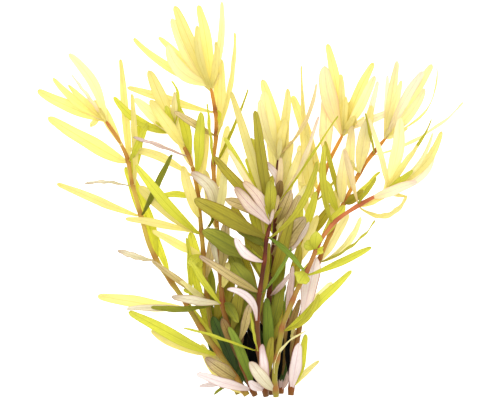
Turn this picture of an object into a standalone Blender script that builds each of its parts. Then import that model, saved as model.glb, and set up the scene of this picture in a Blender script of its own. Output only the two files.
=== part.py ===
"""A cut bunch of rotala, a narrow-leaved aquarium stem plant, lying on a flat surface.

Eight stems lie side by side. Each carries whorls of leaves and ends in a crown of young
leaves. X is across the bunch, +Y runs along the stems away from the cut, +Z is up.
The plan is given in millimetres from the middle of the cut.
"""

import math
from collections import namedtuple
from itertools import product

import bmesh
import bpy
from mathutils import Matrix, Quaternion, Vector
from mathutils.bvhtree import BVHTree

MM = 0.001
UP = Vector((0.0, 0.0, 1.0))

# Driving sizes, in millimetres.
PLAN_CENTRE = Vector((0.5, 99.1, 0.0))
STEM_RADIUS_AT_CUT = 1.4
STEM_RADIUS_AT_TOP = 0.9
GAP = 0.3
SAME_NODE_GAP = 0.03
COLLAR_THICKNESS = 0.9
BUD_LENGTH = 6.0
BUD_RADIUS = 1.2
BUD_ROOTS_FROM = 0.3
BUD_ROOTS_RUN = 0.6
BLADE_THICKNESS = 0.55
TIP_THICKNESS = 0.35
ROOT_PUSH = 2.0
ROOT_ZONE = 7.0
SHORT_BLADE = 60.0
DIRECTION_REACH = 1.5
MERGE_DISTANCE = 0.001

# Shares: a blade's arch and its root's climb, each of its length, the most of a blade's first
# stretch that its root may take up, and how far a cubic curve's handles lie from its ends to
# the middle of the curve's bend.
NATURAL_ARCH = 0.06
HEADING_RISE = 0.25
ROOT_ZONE_LIMIT = 0.7
HANDLE_SHARE = 2 / 3

# How many faces round pieces have.
COLLAR_SIDES = 6
COLLAR_SECTION_SIDES = 3
BUD_SIDES = 5
BUD_RINGS = 4
STEM_BEVEL_RESOLUTION = 1

# How a blade's half width runs from its root to its tip: (share of length, share of half width).
# The last share is the room that is kept for the tip, which is itself a point.
LONG_OUTLINE = ((0.0, 0.16), (0.3, 0.9), (0.62, 1.0), (0.9, 0.64), (1.0, 0.2))
SHORT_OUTLINE = ((0.0, 0.18), (0.34, 1.0), (0.82, 0.8), (1.0, 0.22))

# What a blade may do to stay clear of its neighbours: lift its tip, bow, swing its root round.
# A bow counts for more than a lift, and this many degrees of swing for as much as 1 mm of lift.
LIFTS = (0, 2, -2, 4, -4, 6, -6, 9, -9, 12, -12, 16, -16, 20, -20, 25, -25, 30)
BOWS = (0, 2, -2, 4, -4, 7, -7)
SWINGS = (0, 30, -30, 60, -60, 90, -90)
BOW_COST = 1.5
SWING_PER_LIFT = 6

# Leaf: tip x and y, how far the tip rises above the root, sideways bend (to the right is
# positive), roll in degrees, width, colour. Whorl: height above the cut, leaves.
Leaf = namedtuple("Leaf", "x y rise bend roll width colour")
Whorl = namedtuple("Whorl", "height leaves")
Stem = namedtuple("Stem", "colour path low whorls crown")

ROUGHNESS = 0.45
COLOURS = {
    "yellow": (0.90, 0.84, 0.22),
    "lemon": (0.95, 0.91, 0.46),
    "lime": (0.55, 0.66, 0.06),
    "green": (0.14, 0.24, 0.03),
    "deep": (0.05, 0.08, 0.015),
    "dark": (0.02, 0.035, 0.01),
    "gold": (0.60, 0.56, 0.06),
    "olive": (0.30, 0.28, 0.03),
    "moss": (0.14, 0.17, 0.02),
    "khaki": (0.51, 0.42, 0.16),
    "mauve": (0.72, 0.50, 0.50),
    "rose": (0.86, 0.74, 0.70),
    "cream": (0.75, 0.68, 0.49),
    "straw": (0.86, 0.74, 0.30),
    "peach": (0.83, 0.58, 0.30),
    "brown": (0.25, 0.14, 0.04),
    "dusk": (0.38, 0.30, 0.14),
    "dawn": (0.80, 0.62, 0.50),
    "blush": (0.92, 0.82, 0.60),
    "red stem": (0.32, 0.07, 0.013),
    "ochre stem": (0.42, 0.20, 0.03),
    "coral stem": (0.52, 0.16, 0.06),
    "dark stem": (0.10, 0.03, 0.012),
    "orange stem": (0.45, 0.14, 0.03),
}


def whorl(height, *rows):
    """Leaves that grow at one height of a stem."""
    return Whorl(height, tuple(Leaf(*row) for row in rows))


def crown(*rows):
    """The leaves round a stem's bud."""
    return tuple(Leaf(*row) for row in rows)


STEMS = {
    "far_left": Stem(
        colour="red stem",
        path=(
            (-1.5, 0.5, 20), (-9, 12.5, 19), (-25, 34.5, 15), (-32, 46.5, 13),
            (-46.5, 67, 12), (-51, 76, 12), (-59.5, 107.5, 12), (-61.5, 119.5, 12),
            (-65.5, 128, 12), (-71, 136, 12),
        ),
        low=(
            whorl(3, (-23.5, 23, -10, 0, 10, 7, "yellow")),
            whorl(
                9,
                (-22, 19.5, 12, 0, 0, 7, "dusk"),
                (-25.5, 5, 0, 0, 0, 3, "rose"),
                (-18, 1.5, 6, 0, 60, 3, "moss"),
            ),
        ),
        whorls=(
            whorl(
                22,
                (-61, 42.5, -2, 0, 10, 6, "lime"),
                (-50, 32.5, -12, -1, 0, 6, "yellow"),
            ),
            whorl(
                45,
                (-77, 50, -9, 0, 0, 6.5, "yellow"),
                (-62, 44, 3, 0.5, 35, 4, "cream"),
                (-31, 79.5, 10, 0, 50, 4, "lime"),
            ),
            whorl(
                69,
                (-66.5, 73, 2, 0, 40, 4, "cream"),
                (-63, 115, -8, 1.5, 0, 7, "lime"),
            ),
            whorl(
                91,
                (-98, 107, -12, 0, 10, 4.5, "yellow"),
                (-39, 121.5, 26, 0, 40, 4, "moss"),
            ),
            whorl(
                106,
                (-83, 106.5, 3, 1.5, 60, 3, "cream"),
                (-59, 152, 2, 0, 20, 3.5, "yellow"),
            ),
            whorl(
                118,
                (-102, 140, -6, 0, 10, 7.5, "yellow"),
                (-65.5, 170, -12, 0, 10, 4, "yellow"),
            ),
        ),
        crown=crown(
            (-91, 172, 6, 3.5, 0, 5.5, "lemon"),
            (-107.5, 154, -14, -1, 0, 6, "yellow"),
            (-99, 160, 2, -2, 15, 4, "yellow"),
            (-91.5, 156, 8, 0, 20, 3.5, "yellow"),
            (-89.5, 161, 12, 0, 65, 4, "blush"),
            (-81, 135.5, -4, 0, 0, 3, "yellow"),
        ),
    ),
    "left": Stem(
        colour="ochre stem",
        path=(
            (-6, 0.5, 1.5), (-16.5, 26, 7), (-20, 38.5, 12), (-21.5, 48.5, 16),
            (-23.5, 73.5, 21), (-26, 101, 22), (-28, 112.5, 21), (-31.5, 122.5, 20),
            (-36, 129.5, 19),
        ),
        low=(
            whorl(
                6,
                (-23, 39.5, -2, 0, 0, 8, "deep"),
                (-14, 33.5, 3, 0, 0, 7, "deep"),
            ),
        ),
        whorls=(
            whorl(
                50,
                (-33.5, 53.5, 3, 1, 20, 3.5, "lime"),
                (-49, 68, 8, 0, 20, 3.5, "khaki"),
                (-34.5, 58, 12, 0, 20, 3, "lemon"),
            ),
            whorl(
                71,
                (-49, 83, -6, 0, 0, 4.5, "yellow"),
                (-30.5, 66, 3, 0, 20, 5.5, "lime"),
                (-25, 64.5, 0, 0, 20, 3.5, "lime"),
            ),
            whorl(
                82,
                (-56, 105.5, -3, 0, 0, 7, "yellow"),
                (-57, 116, 5, -1, 10, 5.5, "lime"),
                (-13, 102, 8, 0, 55, 3, "moss"),
                (-62.5, 89, -12, 1, 10, 4, "yellow"),
            ),
            whorl(
                100,
                (-46, 100, 6, 1.5, 20, 3.5, "lime"),
                (-21.5, 133.5, -5, 0, 10, 4.5, "yellow"),
            ),
            whorl(
                111,
                (-61, 124, -6, 3, 0, 4.5, "yellow"),
                (-24.5, 142.5, 3, 0, 0, 5.5, "lime"),
            ),
            whorl(
                121,
                (-58.5, 129.5, 4, 1, 50, 3, "mauve"),
                (-37, 147, -3, 1, 0, 5, "lime"),
            ),
        ),
        crown=crown(
            (-50.5, 163.5, 4, 0, 0, 6.5, "yellow"),
            (-58, 149.5, -2, 0, 10, 6, "straw"),
            (-68.5, 150.5, -6, -4, 0, 4.5, "lime"),
            (-37.5, 152.5, 8, 0, 20, 4, "straw"),
            (-57.5, 138, -6, -1, 0, 4.5, "yellow"),
            (-42, 145.5, 10, 0, 30, 4, "lime"),
            (-38.5, 158, 14, 3, 65, 3, "lime"),
        ),
    ),
    "tall_left": Stem(
        colour="orange stem",
        path=(
            (2.5, 0.5, 18), (-2.5, 12.5, 23), (-11.5, 37.5, 29), (-13.5, 44.5, 30),
            (-15.5, 71, 29), (-17.5, 98.5, 24), (-18.5, 118.5, 20), (-17, 129, 17),
            (-17, 141, 15), (-19, 151.5, 14),
        ),
        low=(
            whorl(
                4,
                (-10.5, 35, 10, 1, 0, 5, "green"),
                (-26.5, 12, 14, 0, 0, 5, "rose"),
            ),
        ),
        whorls=(
            whorl(
                27,
                (0, 47.5, 14, 0, 10, 4.5, "dusk"),
                (-14, 39.5, 6, 0, 0, 5, "olive"),
            ),
            whorl(
                47,
                (-39, 50.5, 8, 0, 0, 4.5, "cream"),
                (-49.5, 45, -4, -2, 45, 4, "moss"),
                (-6, 37.5, 4, 0, 0, 5, "olive"),
                (-30, 68.5, 12, 0, 20, 3.5, "lime"),
            ),
            whorl(
                64,
                (-20.5, 85, 10, 0, 30, 3.5, "cream"),
                (-12, 87.5, 4, 0, 10, 6, "dusk"),
            ),
            whorl(
                93,
                (-29.5, 112, 8, 4, 10, 7, "cream"),
            ),
            whorl(
                116,
                (-0.5, 154, 4, 0, 60, 3, "gold"),
                (-21.5, 146.5, 10, 0, 65, 3, "lime"),
            ),
            whorl(
                131,
                (-37.5, 142.5, 8, 0, 10, 4, "khaki"),
                (-7, 182.5, 2, 1.5, 45, 3.5, "yellow"),
                (-14.5, 169.5, -6, 1, 0, 4.5, "yellow"),
            ),
            whorl(
                143,
                (-62, 155.5, -6, 0, 0, 4.5, "yellow"),
                (-14.5, 135, 3, 0, 20, 3, "lime"),
            ),
        ),
        crown=crown(
            (-38, 196, 4, 0, 0, 6.5, "yellow"),
            (-39.5, 190, -2, -1.5, 0, 6, "straw"),
            (-26, 197.5, -14, 1, 0, 6, "yellow"),
            (-26.5, 186, 8, -2, 10, 4, "yellow"),
            (-17, 178, 4, 1, 10, 3.5, "yellow"),
            (-14.5, 198.5, -6, 2, 30, 4, "lemon"),
            (-46, 180.5, -4, 0, 10, 4.5, "yellow"),
            (-41, 176, 10, -5, 10, 7, "straw"),
            (-59, 180.5, -16, -3.5, 0, 4.5, "yellow"),
        ),
    ),
    "centre_front": Stem(
        colour="dark stem",
        path=(
            (8, 0.5, 26), (4, 26, 34), (3.5, 41, 37), (4.5, 51, 39), (7.5, 71, 41),
            (8, 78.5, 41), (9.5, 84.5, 41),
        ),
        low=(
            whorl(
                4,
                (-1, 8, 8, 0, 0, 4.5, "rose"),
                (6, 27, 14, 0, 0, 5, "rose"),
            ),
        ),
        whorls=(
            whorl(
                24,
                (-33, 35, 8, 1, 65, 3, "lime"),
                (0, 42.5, 6, 0, 60, 2.5, "lime"),
                (-1, 40.5, -10, 0, 10, 5.5, "dark"),
            ),
            whorl(
                39,
                (-11, 54.5, 12, 5, 10, 4, "rose"),
                (9.5, 77, -6, 0, 10, 4, "olive"),
            ),
            whorl(
                53,
                (-25, 71, 12, 0, 10, 4.5, "dusk"),
                (-9, 67.5, 0, 0, 0, 9, "moss"),
                (21, 74.5, 6, 0, 45, 3, "green"),
            ),
            whorl(
                68,
                (-7.5, 80, 12, -2, 0, 4.5, "rose"),
                (-23.5, 83.5, 0, 0, 0, 9, "moss"),
            ),
            whorl(
                80,
                (-27.5, 99, 6, 0, 0, 8.5, "olive"),
                (33.5, 117.5, 2, 4, 35, 4, "gold"),
                (26.5, 63.5, 12, -1, 20, 3, "green"),
            ),
        ),
        crown=crown(
            (-7.5, 105, 12, -1, 0, 6, "dawn"),
            (-3.5, 107.5, 6, 2, 10, 6, "dawn"),
            (-18, 120, 0, 0, 10, 5.5, "olive"),
            (-12.5, 130, -6, 0, 20, 4, "lime"),
            (2.5, 143, 0, 0, 10, 5.5, "olive"),
            (0.5, 129.5, -6, 0, 10, 7, "gold"),
            (-11, 123.5, 6, 0, 30, 3.5, "peach"),
            (10, 108.5, 3, 0, 10, 6, "gold"),
            (-9.5, 152.5, -10, 0, 10, 5, "yellow"),
            (-12, 99, 2, 0, 0, 6, "khaki"),
        ),
    ),
    "centre_back": Stem(
        colour="dark stem",
        path=(
            (10.5, 0.5, 10), (9, 28.5, 15), (9.5, 48.5, 17), (11.5, 73.5, 19),
            (13.5, 94.5, 19), (14, 116, 17),
        ),
        low=(whorl(4, (16, 30, 2, 0, 10, 5, "dark")),),
        whorls=(
            whorl(
                20,
                (8.5, 49.5, 12, 0, 0, 5.5, "green"),
            ),
            whorl(
                51,
                (20, 61.5, 14, 0, 30, 3, "mauve"),
                (17, 58, 0, 0, 0, 6, "moss"),
            ),
            whorl(
                71,
                (27.5, 90, 10, 0, 0, 8.5, "dusk"),
                (29.5, 87.5, 4, 2, 30, 4, "rose"),
            ),
            whorl(
                87,
                (20.5, 103, 10, 0, 10, 5.5, "dusk"),
                (20, 127.5, -4, 0, 10, 6, "lime"),
            ),
            whorl(
                98,
                (7, 117.5, 16, 4, 10, 4, "rose"),
                (15.5, 119.5, 14, 0, 30, 3.5, "peach"),
                (15, 108.5, 10, 0, 10, 4.5, "brown"),
                (34, 140.5, 6, 2, 45, 3, "blush"),
                (43.5, 140.5, 18, 0, 65, 2.5, "lime"),
            ),
        ),
        crown=crown(
            (6, 159, -2, 2, 0, 6.5, "yellow"),
            (7, 153, 4, -1, 0, 7, "lemon"),
            (5, 148.5, 8, -2, 10, 5, "straw"),
            (19, 154.5, 0, 1, 10, 4.5, "yellow"),
            (33, 157, 6, 4, 50, 3, "peach"),
            (17.5, 139.5, 8, 0, 20, 5, "yellow"),
        ),
    ),
    "tall_right": Stem(
        colour="orange stem",
        path=(
            (15.5, 0.5, 1.25), (15.5, 13.5, 2), (18.5, 39.5, 4), (23.5, 67.5, 6.5),
            (27, 81, 7.5), (34.5, 103.5, 8.5), (40.5, 119.5, 9.5), (45.5, 129, 9.5),
        ),
        low=(whorl(3, (17, 24, 2, 0, 10, 5, "deep")),),
        whorls=(
            whorl(
                37,
                (21.5, 65, 14, 0, 20, 3.5, "mauve"),
            ),
            whorl(
                79,
                (33, 102.5, 16, 0, 10, 4.5, "lime"),
                (41.5, 96.5, 4, 0, 0, 5, "olive"),
            ),
            whorl(
                99,
                (25, 107, 12, 0, 20, 3.5, "yellow"),
                (27, 140, 0, 0, 10, 6, "yellow"),
                (45.5, 112.5, 6, 0, 65, 3, "gold"),
            ),
            whorl(
                111,
                (21.5, 151.5, -4, 0, 10, 6, "yellow"),
                (26, 166, 4, -3, 55, 3.5, "yellow"),
            ),
        ),
        crown=crown(
            (39, 177.5, -2, 1, 0, 6, "yellow"),
            (37.5, 166, 4, -2, 0, 8.5, "peach"),
            (46, 162, 2, 0, 20, 3.5, "yellow"),
            (48, 150.5, 8, 0, 20, 3.5, "yellow"),
            (62.5, 168, -10, -1, 0, 5.5, "yellow"),
            (62.5, 161, 6, 1, 10, 5, "straw"),
            (52, 140, 12, 0, 0, 3.5, "yellow"),
            (74, 144.5, 4, 0, 20, 4, "blush"),
            (51, 148.5, -4, 0, 10, 5, "yellow"),
        ),
    ),
    "right": Stem(
        colour="orange stem",
        path=(
            (20.5, 0.5, 17), (21.5, 16, 18), (26.5, 43.5, 20), (35, 69.5, 19),
            (45.5, 93.5, 17), (54, 110.5, 15), (59, 118.5, 14), (66.5, 127.5, 13),
        ),
        low=(
            whorl(
                4,
                (24.5, 27, 12, 0, 0, 6, "rose"),
                (28, 31, -6, 1, 10, 4.5, "lime"),
                (35, 17, -16, -1, 20, 3, "yellow"),
            ),
        ),
        whorls=(
            whorl(
                40,
                (41.5, 57, -8, 0, 0, 6, "lemon"),
                (33, 70, 8, 0, 0, 8.5, "rose"),
                (20.5, 28.5, 0, 0, 60, 3, "yellow"),
            ),
            whorl(
                68,
                (49.5, 91.5, -4, 0, 10, 5.5, "lemon"),
                (55.5, 90, 2, 3, 25, 4, "lemon"),
                (63, 88, 8, 2, 65, 3, "gold"),
            ),
            whorl(
                97,
                (47.5, 124.5, 2, 0, 10, 5.5, "straw"),
                (56.5, 103, 8, 0, 10, 4.5, "olive"),
                (37.5, 128, 6, 0, 30, 3, "gold"),
                (65, 113, 4, 0, 50, 3, "lime"),
            ),
            whorl(
                112,
                (59, 139, 2, 0, 0, 7, "straw"),
                (64.5, 158.5, -4, 0, 20, 4, "blush"),
                (50, 118.5, 5, 0, 55, 3, "yellow"),
            ),
            whorl(
                122,
                (108.5, 147.5, -12, 3, 60, 3, "lemon"),
                (57.5, 142, 6, 0, 60, 3, "gold"),
            ),
        ),
        crown=crown(
            (74, 168.5, -2, 0, 10, 5, "straw"),
            (69.5, 161.5, -6, 0, 20, 3, "blush"),
            (76, 158.5, 4, 0, 10, 4, "lemon"),
            (92.5, 167.5, -14, 0, 0, 6, "lemon"),
            (87, 163.5, 2, -1, 10, 5, "blush"),
            (94, 165, 2, 8, 70, 3, "yellow"),
            (87.5, 154.5, 6, 2, 10, 5, "straw"),
        ),
    ),
    "far_right": Stem(
        colour="coral stem",
        path=(
            (13, 0.5, 31), (12, 11, 34), (16, 36, 37), (23.5, 54, 36), (29, 64.5, 35),
            (35, 78.5, 33), (42.5, 88.5, 31), (57.5, 98, 27), (65, 101.5, 25),
        ),
        low=(
            whorl(
                4,
                (0, 18, 8, 0, 0, 6.5, "cream"),
                (28, 33, 6, -8, 65, 3, "lemon"),
            ),
        ),
        whorls=(
            whorl(
                34,
                (34, 52, 6, 3, 10, 3.5, "gold"),
                (50.5, 63.5, 2, 0, 0, 4.5, "lime"),
            ),
            whorl(
                62,
                (24, 57.5, 8, 0, 0, 8.5, "lime"),
                (60.5, 75, 2, 0, 10, 4, "lime"),
            ),
            whorl(
                74,
                (26.5, 77, 6, 0, 10, 5.5, "lime"),
                (33, 82.5, 6, 0, 10, 6.5, "lime"),
                (35.5, 72.5, 4, 0, 10, 5.5, "lime"),
            ),
            whorl(
                87,
                (37, 126, 8, -2, 20, 4, "gold"),
            ),
            whorl(
                96,
                (79, 100.5, -2, 6, 40, 3.5, "yellow"),
                (47, 123.5, 8, 0, 20, 3.5, "peach"),
                (63, 109.5, 4, 0, 40, 3, "gold"),
                (72.5, 103.5, -6, 0, 10, 3.5, "yellow"),
            ),
        ),
        crown=crown(
            (75, 139.5, 2, 2, 0, 6.5, "straw"),
            (83.5, 125.5, 4, 0, 20, 3.5, "yellow"),
            (91, 132, 8, 4, 40, 3, "straw"),
            (96, 133, -2, 5, 10, 4.5, "yellow"),
            (81, 113, 8, 0, 20, 3.5, "lime"),
            (92, 125.5, -6, 6, 10, 6, "blush"),
            (59.5, 139.5, 8, 0, 35, 3.5, "straw"),
            (91.5, 138.5, 4, 0, 60, 3, "gold"),
        ),
    ),
}


def clear_scene():
    """Removes what the scene holds."""
    for obj in list(bpy.data.objects):
        bpy.data.objects.remove(obj, do_unlink=True)


def material(name):
    """A Principled material of one of the plant's colours."""
    made = bpy.data.materials.get(name)
    if made is None:
        made = bpy.data.materials.new(name)
        made.use_nodes = True
        shader = made.node_tree.nodes["Principled BSDF"]
        shader.inputs["Base Color"].default_value = (*COLOURS[name], 1.0)
        shader.inputs["Roughness"].default_value = ROUGHNESS
        shader.inputs["Metallic"].default_value = 0.0
    return made


def add_object(name, bm, collection, parent, colour=None):
    """An object whose mesh is bm, scaled from millimetres to metres."""
    mesh = bpy.data.meshes.new(name)
    bmesh.ops.scale(bm, vec=(MM, MM, MM), verts=bm.verts)
    bm.to_mesh(mesh)
    bm.free()
    obj = bpy.data.objects.new(name, mesh)
    collection.objects.link(obj)
    obj.parent = parent
    if colour:
        mesh.materials.append(material(colour))
    return obj


def stem_point(path, height):
    """The point of a stem's axis at a height above the cut."""
    for low, high in zip(path, path[1:]):
        if height <= high[1]:
            break
    share = (height - low[1]) / (high[1] - low[1])
    return Vector(low).lerp(Vector(high), share)


def stem_direction(path, height):
    """The way a stem runs at a height."""
    ahead = stem_point(path, min(height + DIRECTION_REACH, path[-1][1]))
    return (ahead - stem_point(path, height - DIRECTION_REACH)).normalized()


def stem_radius(path, height):
    """A stem's radius at a height."""
    share = height / path[-1][1]
    return STEM_RADIUS_AT_CUT + (STEM_RADIUS_AT_TOP - STEM_RADIUS_AT_CUT) * share


def stem_mesh(path):
    """The stem as a bmesh: a six-sided tube that thins towards its top, with closed ends."""
    curve = bpy.data.curves.new("stem", "CURVE")
    curve.dimensions = "3D"
    curve.bevel_depth = 1.0
    curve.bevel_resolution = STEM_BEVEL_RESOLUTION
    curve.use_fill_caps = True
    line = curve.splines.new("POLY")
    line.points.add(len(path) - 1)
    for point, place in zip(line.points, path):
        point.co = (*place, 1.0)
        point.radius = stem_radius(path, place[1])
    tube = bpy.data.objects.new("stem", curve)
    bpy.context.scene.collection.objects.link(tube)
    graph = bpy.context.evaluated_depsgraph_get()
    mesh = bpy.data.meshes.new_from_object(tube.evaluated_get(graph))
    bm = bmesh.new()
    bm.from_mesh(mesh)
    bmesh.ops.remove_doubles(bm, verts=bm.verts, dist=MERGE_DISTANCE)
    bmesh.ops.recalc_face_normals(bm, faces=bm.faces)
    bpy.data.objects.remove(tube, do_unlink=True)
    bpy.data.curves.remove(curve)
    bpy.data.meshes.remove(mesh)
    return bm


def turned_to(direction, place):
    """The matrix that puts a shape made about +Z at a place, along a direction."""
    return Matrix.Translation(place) @ direction.to_track_quat("Z", "Y").to_matrix().to_4x4()


def collar_radius(path, height):
    """The middle of the collar's ring, from the stem's axis."""
    inner = (stem_radius(path, height) + GAP) / math.cos(math.pi / COLLAR_SIDES)
    return inner + COLLAR_THICKNESS / 2


def collar_mesh(path, height):
    """The ring round the stem from which a whorl's leaves grow."""
    bpy.ops.mesh.primitive_torus_add(
        major_segments=COLLAR_SIDES,
        minor_segments=COLLAR_SECTION_SIDES,
        major_radius=collar_radius(path, height),
        minor_radius=COLLAR_THICKNESS / 2,
        abso_major_rad=1.0,
    )
    ring = bpy.context.object
    bm = bmesh.new()
    bm.from_mesh(ring.data)
    place = turned_to(stem_direction(path, height), stem_point(path, height))
    bmesh.ops.transform(bm, matrix=place, verts=bm.verts)
    bpy.data.objects.remove(ring, do_unlink=True)
    return bm


def bud_axis(path):
    """The bud's two ends, just past the end of the stem."""
    end = Vector(path[-1])
    direction = (end - Vector(path[-2])).normalized()
    return end + direction * GAP, end + direction * (GAP + BUD_LENGTH)


def bud_mesh(path):
    """The bud as a long ball."""
    start, end = bud_axis(path)
    bm = bmesh.new()
    bmesh.ops.create_uvsphere(bm, u_segments=BUD_SIDES, v_segments=BUD_RINGS, radius=1.0)
    bmesh.ops.scale(bm, vec=(BUD_RADIUS, BUD_RADIUS, BUD_LENGTH / 2), verts=bm.verts)
    place = turned_to((end - start).normalized(), (start + end) / 2)
    bmesh.ops.transform(bm, matrix=place, verts=bm.verts)
    return bm


def cut_across(bm, cuts):
    """Cuts a unit bar across its length, which runs along X from -0.5 to 0.5."""
    along = [e for e in bm.edges if abs(e.verts[0].co.x - e.verts[1].co.x) > 0.5]
    bmesh.ops.subdivide_edges(bm, edges=along, cuts=cuts)
    return bm


def blade_bar(outline):
    """A three-sided bar with a pointed tip: flat above, with the midrib as a keel below.

    Y and Z run from -1 to 1, and the tip is at X = 0.5.
    """
    bm = bmesh.new()
    bmesh.ops.create_cone(bm, cap_ends=True, segments=3, radius1=1.0, radius2=1.0, depth=1.0)
    for vertex in bm.verts:
        x, y, z = vertex.co
        vertex.co = (z, -x / math.sin(math.pi / 3), (1 - 4 * y) / 3)
    cut_across(bm, len(outline) - 2)
    tip = [vertex for vertex in bm.verts if math.isclose(vertex.co.x, 0.5)]
    bmesh.ops.pointmerge(bm, verts=tip, merge_co=(0.5, 0.0, 0.0))
    return bm


def feeler_bar(outline):
    """A four-sided bar that a blade fits in."""
    bm = bmesh.new()
    bmesh.ops.create_cube(bm, size=2.0, matrix=Matrix.Diagonal((0.5, 1.0, 1.0, 1.0)))
    return cut_across(bm, len(outline) - 2)


def bezier(ends, t):
    """A point and a direction on a cubic curve of four control points."""
    a, b, c, d = ends
    s = 1.0 - t
    point = a * s**3 + b * (3 * s * s * t) + c * (3 * s * t * t) + d * t**3
    slope = (b - a) * (s * s) + (c - b) * (2 * s * t) + (d - c) * (t * t)
    return point, slope.normalized()


def midrib(root, outward, leaf, lift, bow):
    """The curve that a blade follows from its root to its tip."""
    rise = leaf.rise + lift
    tip = Vector((leaf.x, leaf.y, max(root.z + rise, TIP_THICKNESS / 2)))
    run = tip - root
    right = run.cross(UP).normalized()
    arch = 2 * bow + NATURAL_ARCH * run.length
    middle = (root + tip) / 2 + right * (2 * leaf.bend) + UP * arch
    near = root + (middle - root) * HANDLE_SHARE + outward * ROOT_PUSH
    far = tip + (middle - tip) * HANDLE_SHARE
    return root, near, far, tip


def blade_points(bar, outline, ends, leaf, margin=0.0):
    """Where each vertex of a bar goes to make the blade, or one fatter by a margin."""
    places = []
    last = len(outline) - 1
    lowest = [0.0] * len(outline)
    right = (ends[-1] - ends[0]).cross(UP).normalized()
    for vertex in bar.verts:
        station = round((vertex.co.x + 0.5) * last)
        t, share = outline[station]
        centre, along = bezier(ends, t)
        turn = Quaternion(along, math.radians(leaf.roll))
        across = turn @ (right - along * right.dot(along)).normalized()
        normal = across.cross(along)
        half_width = share * leaf.width / 2 + margin
        half_thickness = (BLADE_THICKNESS + (TIP_THICKNESS - BLADE_THICKNESS) * t) / 2 + margin
        past_end = margin * ((station == last) - (station == 0))
        place = centre + along * past_end
        place += across * half_width * vertex.co.y + normal * half_thickness * vertex.co.z
        lowest[station] = min(lowest[station], place.z + margin)
        places.append((station, place))
    return [place - UP * lowest[station] for station, place in places]


def outward_from(axis, direction, leaf, swing):
    """The way a leaf leaves its stem, square to it, swung round it by some degrees."""
    heading = Vector((leaf.x, leaf.y, axis.z + leaf.rise)) - axis
    heading += UP * (HEADING_RISE * heading.length * (1 if leaf.rise >= 0 else -1))
    outward = heading - direction * heading.dot(direction)
    return Quaternion(direction, math.radians(swing)) @ outward.normalized()


def root_on_stem(path, height, from_axis):
    """A function that gives a leaf's root beside the stem's axis and the way it leaves."""
    axis = stem_point(path, height)
    direction = stem_direction(path, height)

    def root(leaf, swing):
        outward = outward_from(axis, direction, leaf, swing)
        return axis + outward * from_axis, outward

    return root


def root_in_bud(path, share):
    """The same for a leaf that grows from a share of the bud's length."""
    start, end = bud_axis(path)
    axis = start.lerp(end, share)
    direction = (end - start).normalized()

    def root(leaf, swing):
        outward = outward_from(axis, direction, leaf, swing) + direction
        return axis, outward.normalized()

    return root


def ways_to_lie():
    """Every lift, bow and swing, the least change first."""
    return sorted(
        product(LIFTS, BOWS, SWINGS),
        key=lambda way: abs(way[0]) + BOW_COST * abs(way[1]) + abs(way[2]) / SWING_PER_LIFT,
    )


class Solid:
    """A laid solid, as what a new leaf is tested against."""

    def __init__(self, owner, points, faces):
        """Takes the name of the node that it belongs to, and its mesh."""
        self.owner = owner
        self.low = Vector(map(min, zip(*points)))
        self.high = Vector(map(max, zip(*points)))
        self.tree = BVHTree.FromPolygons(points, faces)

    def touches(self, other):
        """Whether it meets another solid."""
        return all(
            self.low[i] <= other.high[i] and other.low[i] <= self.high[i] for i in range(3)
        ) and bool(self.tree.overlap(other.tree))


def solid_of(owner, bm):
    """A bmesh as a laid solid."""
    return Solid(owner, [v.co for v in bm.verts], [[v.index for v in f.verts] for f in bm.faces])


def past_root(bar, outline, points):
    """A blade's points with its root end moved out to where it has left its stem or bud."""
    last = len(outline) - 1
    moved = list(points)
    ends = [v for v in bar.verts if round((v.co.x + 0.5) * last) == 0]
    nexts = [v for v in bar.verts if round((v.co.x + 0.5) * last) == 1]
    for end in ends:
        ahead = min(nexts, key=lambda v: (v.co.yz - end.co.yz).length)
        run = points[ahead.index] - points[end.index]
        moved[end.index] = points[end.index] + run * min(ROOT_ZONE_LIMIT, ROOT_ZONE / run.length)
    return moved


def lay_blade(leaf, owner, bed, outers, root_of):
    """Lays a blade clear of the bed and of its own node's other blades, past their roots."""
    length = (Vector((leaf.x, leaf.y)) - root_of(leaf, 0)[0].xy).length
    outline = SHORT_OUTLINE if length < SHORT_BLADE else LONG_OUTLINE
    feeler = feeler_bar(outline)
    faces = [[v.index for v in face.verts] for face in feeler.faces]
    others = [solid for solid in bed if solid.owner != owner]
    for lift, bow, swing in ways_to_lie():
        root, outward = root_of(leaf, swing)
        ends = midrib(root, outward, leaf, lift, bow)
        points = blade_points(feeler, outline, ends, leaf, margin=GAP)
        if any(map(Solid(owner, points, faces).touches, others)):
            continue
        points = blade_points(feeler, outline, ends, leaf, margin=SAME_NODE_GAP)
        outer = Solid(owner, past_root(feeler, outline, points), faces)
        if not any(map(outer.touches, outers)):
            break
    else:
        raise ValueError(f"{owner}: no clear way to lie for {leaf}")
    bed.append(Solid(owner, points, faces))
    outers.append(outer)
    feeler.free()
    blade = blade_bar(outline)
    for vertex, place in zip(blade.verts, blade_points(blade, outline, ends, leaf)):
        vertex.co = place
    return blade


def joined(meshes):
    """Several bmeshes as one."""
    whole = bmesh.new()
    for bm in meshes:
        mesh = bpy.data.meshes.new("piece")
        bm.to_mesh(mesh)
        whole.from_mesh(mesh)
        bpy.data.meshes.remove(mesh)
        bm.free()
    return whole


def lay_leaves(owner, leaves, bed):
    """All the blades of one node, from their leaves and roots, as one bmesh."""
    outers = []
    return joined([lay_blade(leaf, owner, bed, outers, root_of) for leaf, root_of in leaves])


def fuse(body, blades, cutters, parent):
    """Joins blades to the body that they grow from, as one closed solid."""
    cutter = add_object(f"{body.name}_blades", blades, cutters, parent)
    cutter.hide_render = True
    cutter.display_type = "WIRE"
    join = body.modifiers.new("blades", "BOOLEAN")
    join.operation = "UNION"
    join.solver = "EXACT"
    join.use_self = True
    join.object = cutter


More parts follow.
